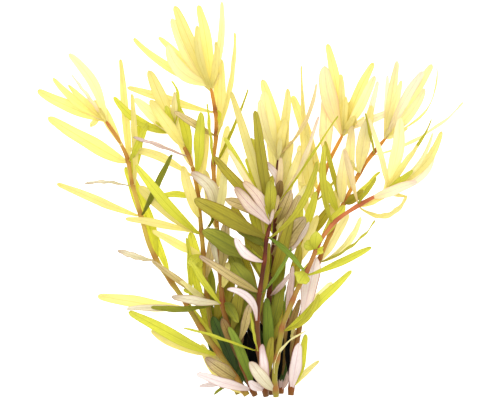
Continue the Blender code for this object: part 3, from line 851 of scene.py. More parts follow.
@dataclass(frozen=True)
class StemPlan:
    """A stem of the plan with its leaves. The path's points are across, along and up."""

    bark: Bark
    path: tuple[Point, ...]
    low: tuple[Whorl, ...]
    whorls: tuple[Whorl, ...]
    crown: tuple[Leaf, ...]

    @property
    def top(self) -> float:
        """The height above the cut at which the stem ends."""
        return self.path[-1][1]

    def point(self, height: float) -> Vector:
        """The point of the axis at a height above the cut."""
        for low, high in zip(self.path, self.path[1:]):
            if height <= high[1]:
                break
        share = (height - low[1]) / (high[1] - low[1])
        return Vector(low).lerp(Vector(high), share)

    def smooth_point(self, height: float) -> Vector:
        """The axis with its corners rounded off."""
        reach = min(STEM_SMOOTHING, height - self.path[0][1], self.top - height)
        places = [self.point(height + reach * step) for step in SMOOTHING_STEPS]
        return sum(places, Vector()) / len(places)

    def direction(self, height: float) -> Vector:
        """The way the stem runs at a height."""
        ahead = self.point(min(height + DIRECTION_REACH, self.top))
        return (ahead - self.point(height - DIRECTION_REACH)).normalized()

    def radius(self, height: float) -> float:
        """The stem's radius at a height."""
        share = height / self.top
        return STEM_RADIUS_AT_CUT + (STEM_RADIUS_AT_TOP - STEM_RADIUS_AT_CUT) * share

    def collar_root(self, height: float) -> float:
        """How far from the axis the leaves of a whorl are rooted in the solid model."""
        inner = (self.radius(height) + GAP) / math.cos(math.pi / COLLAR_SIDES)
        return (inner + COLLAR_THICKNESS / 2) * (1 + math.cos(math.pi / COLLAR_SIDES)) / 2

    def bud_axis(self) -> tuple[Vector, Vector]:
        """The two ends of the bud, just past the end of the stem."""
        end = Vector(self.path[-1])
        direction = (end - Vector(self.path[-2])).normalized()
        return end + direction * GAP, end + direction * (GAP + BUD_LENGTH)

    def root_beside(self, leaf: Leaf, swing: float, height: float, from_axis: float) -> Root:
        """The root of a leaf that grows from the stem's side.

        Args:
            leaf: The leaf.
            swing: How far its root is swung round the stem, in degrees.
            height: The height above the cut.
            from_axis: The root's distance from the stem's axis.

        Returns:
            The root.
        """
        axis = self.point(height)
        outward = outward_from(axis, self.direction(height), leaf, swing)
        inner = self.smooth_point(height) + outward * (self.radius(height) * ROOT_DEPTH)
        return Root(inner, axis + outward * from_axis, outward)

    def root_in_bud(self, leaf: Leaf, swing: float, share: float) -> Root:
        """The root of a leaf that grows from a share of the bud's length."""
        start, end = self.bud_axis()
        axis = start.lerp(end, share)
        direction = (end - start).normalized()
        outward = (outward_from(axis, direction, leaf, swing) + direction).normalized()
        return Root(axis - direction, axis, outward)

    def node_heights(self) -> list[float]:
        """The heights at which the stem is swollen, with and without leaves."""
        leafy = sorted(ring.height for ring in (*self.low, *self.whorls))
        heights = [leafy[0]]
        for height in [*leafy[1:], self.top]:
            count = round((height - heights[-1]) / INTERNODE)
            step = (height - heights[-1]) / max(count, 1)
            heights += [heights[-1] + step * number for number in range(1, max(count, 1))]
            heights.append(height)
        return heights


def outward_from(axis: Vector, direction: Vector, leaf: Leaf, swing: float) -> Vector:
    """The way a leaf leaves its stem, square to it.

    Args:
        axis: The point of the stem's axis.
        direction: The way the stem runs there.
        leaf: The leaf.
        swing: How far the way is swung round the stem, in degrees.

    Returns:
        The way as a unit vector.
    """
    heading = Vector((leaf.x, leaf.y, axis.z + leaf.rise)) - axis
    heading += UP * (HEADING_RISE * heading.length * (1 if leaf.rise >= 0 else -1))
    outward = heading - direction * heading.dot(direction)
    return Quaternion(direction, math.radians(swing)) @ outward.normalized()


def ways_to_lie() -> list[tuple[float, float, float]]:
    """Every lift, bow and swing that a leaf may have, the least change first."""
    return sorted(
        product(LIFTS, BOWS, SWINGS),
        key=lambda way: abs(way[0]) + BOW_COST * abs(way[1]) + abs(way[2]) / SWING_PER_LIFT,
    )


WAYS = ways_to_lie()
RootOf = Callable[[Leaf, float], Root]


def is_short(leaf: Leaf, root_of: RootOf) -> bool:
    """Whether a leaf has a short blade's outline."""
    return (Vector((leaf.x, leaf.y)) - root_of(leaf, 0).outer.xy).length < SHORT_BLADE


class SolidNode:
    """A solid of the frame, as what its dressed piece is fitted to."""

    def __init__(self, name: str) -> None:
        """Takes the corners of the frame's node, in millimetres of the plan."""
        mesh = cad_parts[name].data
        self.corners = KDTree(len(mesh.vertices))
        for vertex in mesh.vertices:
            self.corners.insert(vertex.co / MM + PLAN_CENTRE, vertex.index)
        self.corners.balance()

    def misses(self, course: Course, station: int) -> float:
        """How far the solid's corners are from the ring that a course has at a station."""
        ring = course.solid_ring(station)
        return sum(min(self.corners.find(corner)[2], FAR_OFF) for corner in ring)

    def course(self, leaf: Leaf, root_of: RootOf) -> Course:
        """The course on which the solid model has a leaf.

        Args:
            leaf: The leaf.
            root_of: Gives its root for a swing round the stem.

        Returns:
            The course whose stations are the solid's own corners.
        """
        short = is_short(leaf, root_of)
        best = None
        least = math.inf
        for lift, bow, swing in WAYS:
            course = Course.of(leaf, root_of(leaf, swing), lift, bow, short)
            last = len(course.outline) - 1
            miss = self.misses(course, last)
            if miss < least:
                miss += sum(self.misses(course, station) for station in range(1, last))
            if miss < least:
                best, least = course, miss
            if miss < SAME_PLACE:
                break
        if least > FAR_OFF:
            log.warning("a leaf to %s, %s is %.1f mm off its solid", leaf.x, leaf.y, least)
        return best


@dataclass(frozen=True)
class BladeForm:
    """How one blade departs from a flat one.

    The wave and the curl are in millimetres, the twist in degrees, and the cup and the uneven
    edge are shares of the half width.
    """

    cup: float
    wave: float
    waves: float
    phase: float
    twist: float
    curl: float
    belly: float
    uneven: float
    shade: float
    blush: float

    @staticmethod
    def drawn(rng: random.Random) -> "BladeForm":
        """A form with every leaf's own numbers."""
        return BladeForm(
            cup=rng.uniform(-0.08, 0.34),
            wave=rng.uniform(0.05, 0.38),
            waves=rng.uniform(1.5, 4.0),
            phase=rng.uniform(0, math.tau),
            twist=rng.uniform(-16, 16),
            curl=rng.uniform(-1.1, 0.6),
            belly=rng.uniform(0.75, 1.3),
            uneven=rng.uniform(0.03, 0.1),
            shade=rng.uniform(0.9, 1.08),
            blush=max(0.0, rng.uniform(-0.6, 1.0)),
        )


def form_share(form: tuple[Pair, ...], t: float) -> float:
    """The share of a blade's full half width at a share of its length.

    Args:
        form: Points of the form, each a share of the length and of the half width.
        t: The share of the length, from the root.

    Returns:
        The height of a smooth curve through the points.
    """
    last = len(form) - 1
    index = max(i for i in range(last) if form[i][0] <= t)
    (t0, low), (t1, high) = form[index], form[index + 1]

    def slope(at: int) -> float:
        """The curve's slope at one of the points."""
        (ta, a), (tb, b) = form[max(at - 1, 0)], form[min(at + 1, last)]
        return (b - a) / (tb - ta)

    run = t1 - t0
    s = (t - t0) / run
    return (
        (2 * s**3 - 3 * s**2 + 1) * low
        + (s**3 - 2 * s**2 + s) * run * slope(index)
        + (3 * s**2 - 2 * s**3) * high
        + (s**3 - s**2) * run * slope(index + 1)
    )


@dataclass(frozen=True)
class Ring:
    """A ring of a tube, and how far it has the colours of a knot and of pith."""

    middle: Vector
    direction: Vector
    radius: float
    knot: float = 0.0
    pith: float = 0.0


def put(name: str, data: bpy.types.ID) -> bpy.types.Object:
    """Puts a new object into the scene."""
    made = bpy.data.objects.new(name, data)
    bpy.context.scene.collection.objects.link(made)
    return made


class Piece:
    """A dressed piece: blades and tubes in one mesh, each with its own finish."""

    def __init__(self, name: str) -> None:
        """Starts an empty mesh with the layers that the finishes read."""
        self.name = name
        self.bm = bmesh.new()
        self.bm.loops.layers.uv.new("surface")
        self.layers = {key: self.bm.verts.layers.float.new(key) for key in ATTRIBUTES}
        self.materials: list[bpy.types.Material] = []
        self.rng = random.Random(name)

    def grid(self, rows: int, columns: int) -> list[tuple[bmesh.types.BMVert, float, float]]:
        """Adds a grid.

        Args:
            rows: Its faces along.
            columns: Its faces across.

        Returns:
            Its vertices, each with its shares of the way along and across.
        """
        made = bmesh.ops.create_grid(
            self.bm, x_segments=rows, y_segments=columns, size=0.5, calc_uvs=True
        )
        return [(v, v.co.x + 0.5, v.co.y + 0.5) for v in made["verts"]]

    def close(self, verts: list[bmesh.types.BMVert], material: bpy.types.Material,
              thickness: float = 0.0) -> None:
        """Merges a part's doubles, gives it a thickness if it has one, and its finish.

        Args:
            verts: The part's vertices.
            material: Its finish.
            thickness: The shell's thickness in millimetres.
        """
        bmesh.ops.remove_doubles(self.bm, verts=verts, dist=MERGE_DISTANCE)
        faces = list({face for v in verts if v.is_valid for face in v.link_faces})
        if material not in self.materials:
            self.materials.append(material)
        for face in faces:
            face.material_index = self.materials.index(material)
            face.smooth = True
        if thickness:
            self.bm.normal_update()
            shell = bmesh.ops.extrude_face_region(self.bm, geom=faces, use_keep_orig=True)
            for made in shell["geom"]:
                if isinstance(made, bmesh.types.BMVert):
                    made.co -= made.normal * thickness

    def blade(self, course: Course, finish: bpy.types.Material, form: BladeForm,
              columns: int = LEAF_COLUMNS, rows: int = LEAF_ROWS) -> None:
        """Adds a leaf's blade.

        Args:
            course: The line that it follows.
            finish: Its finish.
            form: How it departs from a flat blade.
            columns: Its faces across.
            rows: Its faces along.
        """
        shade, blush = self.layers["shade"], self.layers["blush"]
        verts = self.grid(rows, columns)
        floor: dict[float, float] = {}
        tip_from = 1 - min(ROUND_TIP_LIMIT, TIP_ROUNDING * course.width / 2 / course.length())
        for vertex, row, column in verts:
            s = max(0.0, (row - STALK_SHARE) / (1 - STALK_SHARE))
            t = 1 - (1 - s) ** TIP_CROWDING
            side = 2 * column - 1
            point, across, normal = course.at(t, form.twist * (t - TWIST_MIDDLE))
            if row < STALK_SHARE:
                point = course.inner.lerp(point, row / STALK_SHARE)
            past = max(0.0, (t - tip_from) / (1 - tip_from))
            edge = math.sin(math.tau * EDGE_WAVES * t + form.phase * 2 + EDGE_SKEW * side)
            half = form_share(course.form, t**form.belly) * course.width / 2
            half *= math.sqrt(1 - min(past, 1.0) ** 2)
            half *= 1 + form.uneven * edge
            ripple = math.sin(math.tau * form.waves * t + form.phase + RIPPLE_SKEW * side)
            height = form.cup * half * (side * side - CUP_LEVEL)
            height += form.wave * ripple * side * side * min(1.0, RIPPLE_GROWTH * t)
            height += form.curl * max(0.0, (t - CURL_FROM) / (1 - CURL_FROM)) ** 2
            height -= GROOVE_DEPTH * math.exp(-((side / GROOVE_WIDTH) ** 2))
            vertex.co = point + across * (half * side) + normal * height
            vertex[shade] = form.shade
            vertex[blush] = form.blush
            floor[row] = min(floor.get(row, 0.0), vertex.co.z - LEAF_THICKNESS)
        for vertex, row, _ in verts:
            vertex.co.z -= floor[row]
        self.close([vertex for vertex, *_ in verts], finish, LEAF_THICKNESS)

    def leaf(self, course: Course, tint: Tint) -> None:
        """Adds the blade of a leaf, with a form of its own."""
        self.blade(course, finish_of(tint), BladeForm.drawn(self.rng))

    def tube(self, rings: list[Ring], sides: int, finish: bpy.types.Material,
             shade: float = 1.0, blush: float = 0.0) -> None:
        """Adds a closed tube.

        Args:
            rings: Its rings from end to end.
            sides: The tube's sides.
            finish: Its finish.
            shade: How bright it is.
            blush: How far all of it has the colour of a stem's top.
        """
        last = len(rings) - 1
        verts = self.grid(last, sides)
        for vertex, along, round_share in verts:
            ring = rings[round(along * last)]
            angle = math.tau * round_share
            spoke = Vector((math.cos(angle), math.sin(angle), 0.0))
            vertex.co = ring.middle + ring.direction.to_track_quat("Z", "Y") @ spoke * ring.radius
            vertex.co.z = max(vertex.co.z, 0.0)
            values = {"shade": shade, "blush": blush, "knot": ring.knot, "pith": ring.pith}
            for key, value in values.items():
                vertex[self.layers[key]] = value
        self.close([vertex for vertex, *_ in verts], finish)

    def finish(self, slot: str, *nodes: str) -> bpy.types.Object:
        """Makes the object in metres of the frame.

        Args:
            slot: The record's material slot. It is not used.
            nodes: The frame's solids that the piece stands for.

        Returns:
            The object.
        """
        bmesh.ops.recalc_face_normals(self.bm, faces=self.bm.faces)
        place = Matrix.Scale(MM, 4) @ Matrix.Translation(-PLAN_CENTRE)
        bmesh.ops.transform(self.bm, matrix=place, verts=self.bm.verts)
        mesh = bpy.data.meshes.new(self.name)
        self.bm.to_mesh(mesh)
        self.bm.free()
        for material in self.materials:
            mesh.materials.append(material)
        mesh.set_sharp_from_angle(angle=math.radians(SHARP_ANGLE))
        made = put(self.name, mesh)
        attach(made, "root")
        if nodes:
            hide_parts(*nodes)
        log.info("%s: %d faces", self.name, len(mesh.polygons))
        return made


# The stems where the solid model has them, from left to right. A leaf's row gives its tip across
# and along, how far the tip rises above the root, its bend to the right, its roll in degrees, its
# width and its tint. A whorl starts with its height above the cut.
STEMS: dict[str, StemPlan] = {
    "far_left": StemPlan(
        bark=Bark.RED,
        path=(
            (-1.5, 0.5, 20), (-9, 12.5, 19), (-25, 34.5, 15), (-32, 46.5, 13),
            (-46.5, 67, 12), (-51, 76, 12), (-59.5, 107.5, 12), (-61.5, 119.5, 12),
            (-65.5, 128, 12), (-71, 136, 12),
        ),
        low=(
            whorl(3, (-23.5, 23, -10, 0, 10, 7, "yellow")),
            whorl(
                9,
                (-22, 19.5, 12, 0, 0, 7, "dusk"),
                (-25.5, 5, 0, 0, 0, 3, "rose"),
                (-18, 1.5, 6, 0, 60, 3, "moss"),
            ),
        ),
        whorls=(
            whorl(22, (-61, 42.5, -2, 0, 10, 6, "lime"), (-50, 32.5, -12, -1, 0, 6, "yellow")),
            whorl(
                45,
                (-77, 50, -9, 0, 0, 6.5, "yellow"),
                (-62, 44, 3, 0.5, 35, 4, "cream"),
                (-31, 79.5, 10, 0, 50, 4, "lime"),
            ),
            whorl(69, (-66.5, 73, 2, 0, 40, 4, "cream"), (-63, 115, -8, 1.5, 0, 7, "lime")),
            whorl(91, (-98, 107, -12, 0, 10, 4.5, "yellow"), (-39, 121.5, 26, 0, 40, 4, "moss")),
            whorl(106, (-83, 106.5, 3, 1.5, 60, 3, "cream"), (-59, 152, 2, 0, 20, 3.5, "yellow")),
            whorl(
                118,
                (-102, 140, -6, 0, 10, 7.5, "yellow"),
                (-65.5, 170, -12, 0, 10, 4, "yellow"),
            ),
        ),
        crown=crown(
            (-91, 172, 6, 3.5, 0, 5.5, "lemon"),
            (-107.5, 154, -14, -1, 0, 6, "yellow"),
            (-99, 160, 2, -2, 15, 4, "yellow"),
            (-91.5, 156, 8, 0, 20, 3.5, "yellow"),
            (-89.5, 161, 12, 0, 65, 4, "blush"),
            (-81, 135.5, -4, 0, 0, 3, "yellow"),
        ),
    ),
    "left": StemPlan(
        bark=Bark.OCHRE,
        path=(
            (-6, 0.5, 1.5), (-16.5, 26, 7), (-20, 38.5, 12), (-21.5, 48.5, 16),
            (-23.5, 73.5, 21), (-26, 101, 22), (-28, 112.5, 21), (-31.5, 122.5, 20),
            (-36, 129.5, 19),
        ),
        low=(
            whorl(6, (-23, 39.5, -2, 0, 0, 8, "deep"), (-14, 33.5, 3, 0, 0, 7, "deep")),
        ),
        whorls=(
            whorl(
                50,
                (-33.5, 53.5, 3, 1, 20, 3.5, "lime"),
                (-49, 68, 8, 0, 20, 3.5, "khaki"),
                (-34.5, 58, 12, 0, 20, 3, "lemon"),
            ),
            whorl(
                71,
                (-49, 83, -6, 0, 0, 4.5, "yellow"),
                (-30.5, 66, 3, 0, 20, 5.5, "lime"),
                (-25, 64.5, 0, 0, 20, 3.5, "lime"),
            ),
            whorl(
                82,
                (-56, 105.5, -3, 0, 0, 7, "yellow"),
                (-57, 116, 5, -1, 10, 5.5, "lime"),
                (-13, 102, 8, 0, 55, 3, "moss"),
                (-62.5, 89, -12, 1, 10, 4, "yellow"),
            ),
            whorl(
                100,
                (-46, 100, 6, 1.5, 20, 3.5, "lime"),
                (-21.5, 133.5, -5, 0, 10, 4.5, "yellow"),
            ),
            whorl(111, (-61, 124, -6, 3, 0, 4.5, "yellow"), (-24.5, 142.5, 3, 0, 0, 5.5, "lime")),
            whorl(121, (-58.5, 129.5, 4, 1, 50, 3, "mauve"), (-37, 147, -3, 1, 0, 5, "lime")),
        ),
        crown=crown(
            (-50.5, 163.5, 4, 0, 0, 6.5, "yellow"),
            (-58, 149.5, -2, 0, 10, 6, "straw"),
            (-68.5, 150.5, -6, -4, 0, 4.5, "lime"),
            (-37.5, 152.5, 8, 0, 20, 4, "straw"),
            (-57.5, 138, -6, -1, 0, 4.5, "yellow"),
            (-42, 145.5, 10, 0, 30, 4, "lime"),
            (-38.5, 158, 14, 3, 65, 3, "lime"),
        ),
    ),
    "tall_left": StemPlan(
        bark=Bark.ORANGE,
        path=(
            (2.5, 0.5, 18), (-2.5, 12.5, 23), (-11.5, 37.5, 29), (-13.5, 44.5, 30),
            (-15.5, 71, 29), (-17.5, 98.5, 24), (-18.5, 118.5, 20), (-17, 129, 17),
            (-17, 141, 15), (-19, 151.5, 14),
        ),
        low=(
            whorl(4, (-10.5, 35, 10, 1, 0, 5, "green"), (-26.5, 12, 14, 0, 0, 5, "rose")),
        ),
        whorls=(
            whorl(27, (0, 47.5, 14, 0, 10, 4.5, "dusk"), (-14, 39.5, 6, 0, 0, 5, "brown")),
            whorl(
                47,
                (-39, 50.5, 8, 0, 0, 4.5, "cream"),
                (-49.5, 45, -4, -2, 45, 4, "moss"),
                (-6, 37.5, 4, 0, 0, 5, "moss"),
                (-30, 68.5, 12, 0, 20, 3.5, "lime"),
            ),
            whorl(64, (-20.5, 85, 10, 0, 30, 3.5, "cream"), (-12, 87.5, 4, 0, 10, 6, "dusk")),
            whorl(93, (-29.5, 112, 8, 4, 10, 7, "cream")),
            whorl(116, (-0.5, 154, 4, 0, 60, 3, "gold"), (-21.5, 146.5, 10, 0, 65, 3, "lime")),
            whorl(
                131,
                (-37.5, 142.5, 8, 0, 10, 4, "khaki"),
                (-7, 182.5, 2, 1.5, 45, 3.5, "yellow"),
                (-14.5, 169.5, -6, 1, 0, 4.5, "yellow"),
            ),
            whorl(143, (-62, 155.5, -6, 0, 0, 4.5, "yellow"), (-14.5, 135, 3, 0, 20, 3, "lime")),
        ),
        crown=crown(
            (-38, 196, 4, 0, 0, 6.5, "yellow"),
            (-39.5, 190, -2, -1.5, 0, 6, "straw"),
            (-26, 197.5, -14, 1, 0, 6, "yellow"),
            (-26.5, 186, 8, -2, 10, 4, "yellow"),
            (-17, 178, 4, 1, 10, 3.5, "yellow"),
            (-14.5, 198.5, -6, 2, 30, 4, "lemon"),
            (-46, 180.5, -4, 0, 10, 4.5, "yellow"),
            (-41, 176, 10, -5, 10, 7, "straw"),
            (-59, 180.5, -16, -3.5, 0, 4.5, "yellow"),
        ),
    ),
    "centre_front": StemPlan(
        bark=Bark.DARK,
        path=(
            (8, 0.5, 26), (4, 26, 34), (3.5, 41, 37), (4.5, 51, 39), (7.5, 71, 41),
            (8, 78.5, 41), (9.5, 84.5, 41),
        ),
        low=(
            whorl(4, (-1, 8, 8, 0, 0, 4.5, "rose"), (6, 27, 14, 0, 0, 5, "rose")),
        ),
        whorls=(
            whorl(
                24,
                (-33, 35, 8, 1, 65, 3, "lime"),
                (0, 42.5, 6, 0, 60, 2.5, "lime"),
                # A near-black leaf of painted shade in the shaded hollow behind the stems.
                (-1, 40.5, -10, 0, 10, 5.5, "dark"),
            ),
            whorl(39, (-11, 54.5, 12, 5, 10, 4, "rose"), (9.5, 77, -6, 0, 10, 4, "olive")),
            whorl(
                53,
                (-25, 71, 12, 0, 10, 4.5, "dusk"),
                (-9, 67.5, 0, 0, 0, 9, "moss"),
                (21, 74.5, 6, 0, 45, 3, "green"),
            ),
            whorl(68, (-7.5, 80, 12, -2, 0, 4.5, "rose"), (-23.5, 83.5, 0, 0, 0, 9, "moss")),
            whorl(
                80,
                (-27.5, 99, 6, 0, 0, 8.5, "olive"),
                (33.5, 117.5, 2, 4, 35, 4, "gold"),
                (26.5, 63.5, 12, -1, 20, 3, "green"),
            ),
        ),
        crown=crown(
            (-7.5, 105, 12, -1, 0, 6, "dawn"),
            (-3.5, 107.5, 6, 2, 10, 6, "dawn"),
            (-18, 120, 0, 0, 10, 5.5, "olive"),
            (-12.5, 130, -6, 0, 20, 4, "lime"),
            (2.5, 143, 0, 0, 10, 5.5, "olive"),
            (0.5, 129.5, -6, 0, 10, 7, "gold"),
            (-11, 123.5, 6, 0, 30, 3.5, "peach"),
            (10, 108.5, 3, 0, 10, 6, "gold"),
            (-9.5, 152.5, -10, 0, 10, 5, "yellow"),
            (-12, 99, 2, 0, 0, 6, "khaki"),
        ),
    ),
    "centre_back": StemPlan(
        bark=Bark.DARK,
        path=(
            (10.5, 0.5, 10), (9, 28.5, 15), (9.5, 48.5, 17), (11.5, 73.5, 19),
            (13.5, 94.5, 19), (14, 116, 17),
        ),
        # A near-black leaf of painted shade low in the bunch's shaded hollow.
        low=(whorl(4, (16, 30, 2, 0, 10, 5, "dark")),),
        whorls=(
            whorl(20, (8.5, 49.5, 12, 0, 0, 5.5, "green")),
            whorl(51, (20, 61.5, 14, 0, 30, 3, "mauve"), (17, 58, 0, 0, 0, 6, "moss")),
            whorl(71, (27.5, 90, 10, 0, 0, 8.5, "dusk"), (29.5, 87.5, 4, 2, 30, 4, "rose")),
            whorl(87, (20.5, 103, 10, 0, 10, 5.5, "dusk"), (20, 127.5, -4, 0, 10, 6, "lime")),
            whorl(
                98,
                (7, 117.5, 16, 4, 10, 4, "rose"),
                (15.5, 119.5, 14, 0, 30, 3.5, "peach"),
                (15, 108.5, 10, 0, 10, 4.5, "brown"),
                (34, 140.5, 6, 2, 45, 3, "blush"),
                (43.5, 140.5, 18, 0, 65, 2.5, "lime"),
            ),
        ),
        crown=crown(
            (6, 159, -2, 2, 0, 6.5, "yellow"),
            (7, 153, 4, -1, 0, 7, "lemon"),
            (5, 148.5, 8, -2, 10, 5, "straw"),
            (19, 154.5, 0, 1, 10, 4.5, "yellow"),
            (33, 157, 6, 4, 50, 3, "peach"),
            (17.5, 139.5, 8, 0, 20, 5, "yellow"),
        ),
    ),
    "tall_right": StemPlan(
        bark=Bark.ORANGE,
        path=(
            (15.5, 0.5, 1.25), (15.5, 13.5, 2), (18.5, 39.5, 4), (23.5, 67.5, 6.5),
            (27, 81, 7.5), (34.5, 103.5, 8.5), (40.5, 119.5, 9.5), (45.5, 129, 9.5),
        ),
        low=(whorl(3, (17, 24, 2, 0, 10, 5, "deep")),),
        whorls=(
            whorl(37, (21.5, 65, 14, 0, 20, 3.5, "mauve")),
            whorl(79, (33, 102.5, 16, 0, 10, 4.5, "lime"), (41.5, 96.5, 4, 0, 0, 5, "olive")),
            whorl(
                99,
                (25, 107, 12, 0, 20, 3.5, "yellow"),
                (27, 140, 0, 0, 10, 6, "yellow"),
                (45.5, 112.5, 6, 0, 65, 3, "gold"),
            ),
            whorl(111, (21.5, 151.5, -4, 0, 10, 6, "yellow"), (26, 166, 4, -3, 55, 3.5, "yellow")),
        ),
        crown=crown(
            (39, 177.5, -2, 1, 0, 6, "yellow"),
            (37.5, 166, 4, -2, 0, 8.5, "peach"),
            (46, 162, 2, 0, 20, 3.5, "yellow"),
            (48, 150.5, 8, 0, 20, 3.5, "yellow"),
            (62.5, 168, -10, -1, 0, 5.5, "yellow"),
            (62.5, 161, 6, 1, 10, 5, "straw"),
            (52, 140, 12, 0, 0, 3.5, "yellow"),
            (74, 144.5, 4, 0, 20, 4, "blush"),
            (51, 148.5, -4, 0, 10, 5, "yellow"),
        ),
    ),
    "right": StemPlan(
        bark=Bark.ORANGE,
        path=(
            (20.5, 0.5, 17), (21.5, 16, 18), (26.5, 43.5, 20), (35, 69.5, 19),
            (45.5, 93.5, 17), (54, 110.5, 15), (59, 118.5, 14), (66.5, 127.5, 13),
        ),
        low=(
            whorl(
                4,
                (24.5, 27, 12, 0, 0, 6, "rose"),
                (28, 31, -6, 1, 10, 4.5, "lime"),
                (35, 17, -16, -1, 20, 3, "yellow"),
            ),
        ),
        whorls=(
            whorl(
                40,
                (41.5, 57, -8, 0, 0, 6, "lemon"),
                (33, 70, 8, 0, 0, 8.5, "rose"),
                (20.5, 28.5, 0, 0, 60, 3, "yellow"),
            ),
            whorl(
                68,
                (49.5, 91.5, -4, 0, 10, 5.5, "lemon"),
                (55.5, 90, 2, 3, 25, 4, "lemon"),
                (63, 88, 8, 2, 65, 3, "gold"),
            ),
            whorl(
                97,
                (47.5, 124.5, 2, 0, 10, 5.5, "straw"),
                (56.5, 103, 8, 0, 10, 4.5, "olive"),
                (37.5, 128, 6, 0, 30, 3, "gold"),
                (65, 113, 4, 0, 50, 3, "lime"),
            ),
            whorl(
                112,
                (59, 139, 2, 0, 0, 7, "straw"),
                (64.5, 158.5, -4, 0, 20, 4, "blush"),
                (50, 118.5, 5, 0, 55, 3, "yellow"),
            ),
            whorl(122, (108.5, 147.5, -12, 3, 60, 3, "lemon"), (57.5, 142, 6, 0, 60, 3, "gold")),
        ),
        crown=crown(
            (74, 168.5, -2, 0, 10, 5, "straw"),
            (69.5, 161.5, -6, 0, 20, 3, "blush"),
            (76, 158.5, 4, 0, 10, 4, "lemon"),
            (92.5, 167.5, -14, 0, 0, 6, "lemon"),
            (87, 163.5, 2, -1, 10, 5, "blush"),
            (94, 165, 2, 8, 70, 3, "yellow"),
            (87.5, 154.5, 6, 2, 10, 5, "straw"),
        ),
    ),
    "far_right": StemPlan(
        bark=Bark.CORAL,
        path=(
            (13, 0.5, 31), (12, 11, 34), (16, 36, 37), (23.5, 54, 36), (29, 64.5, 35),
            (35, 78.5, 33), (42.5, 88.5, 31), (57.5, 98, 27), (65, 101.5, 25),
        ),
        low=(
            whorl(4, (0, 18, 8, 0, 0, 6.5, "cream"), (28, 33, 6, -8, 65, 3, "lemon")),
        ),
        whorls=(
            whorl(34, (34, 52, 6, 3, 10, 3.5, "gold"), (50.5, 63.5, 2, 0, 0, 4.5, "lime")),
            whorl(62, (24, 57.5, 8, 0, 0, 8.5, "lime"), (60.5, 75, 2, 0, 10, 4, "lime")),
            whorl(
                74,
                (26.5, 77, 6, 0, 10, 5.5, "lime"),
                (33, 82.5, 6, 0, 10, 6.5, "lime"),
                (35.5, 72.5, 4, 0, 10, 5.5, "lime"),
            ),
            whorl(87, (37, 126, 8, -2, 20, 4, "gold")),
            whorl(
                96,
                (79, 100.5, -2, 6, 40, 3.5, "yellow"),
                (47, 123.5, 8, 0, 20, 3.5, "peach"),
                (63, 109.5, 4, 0, 40, 3, "gold"),
                (72.5, 103.5, -6, 0, 10, 3.5, "yellow"),
            ),
        ),
        crown=crown(
            (75, 139.5, 2, 2, 0, 6.5, "straw"),
            (83.5, 125.5, 4, 0, 20, 3.5, "yellow"),
            (91, 132, 8, 4, 40, 3, "straw"),
            (96, 133, -2, 5, 10, 4.5, "yellow"),
            (81, 113, 8, 0, 20, 3.5, "lime"),
            (92, 125.5, -6, 6, 10, 6, "blush"),
            (59.5, 139.5, 8, 0, 35, 3.5, "straw"),
            (91.5, 138.5, 4, 0, 60, 3, "gold"),
        ),
    ),
}
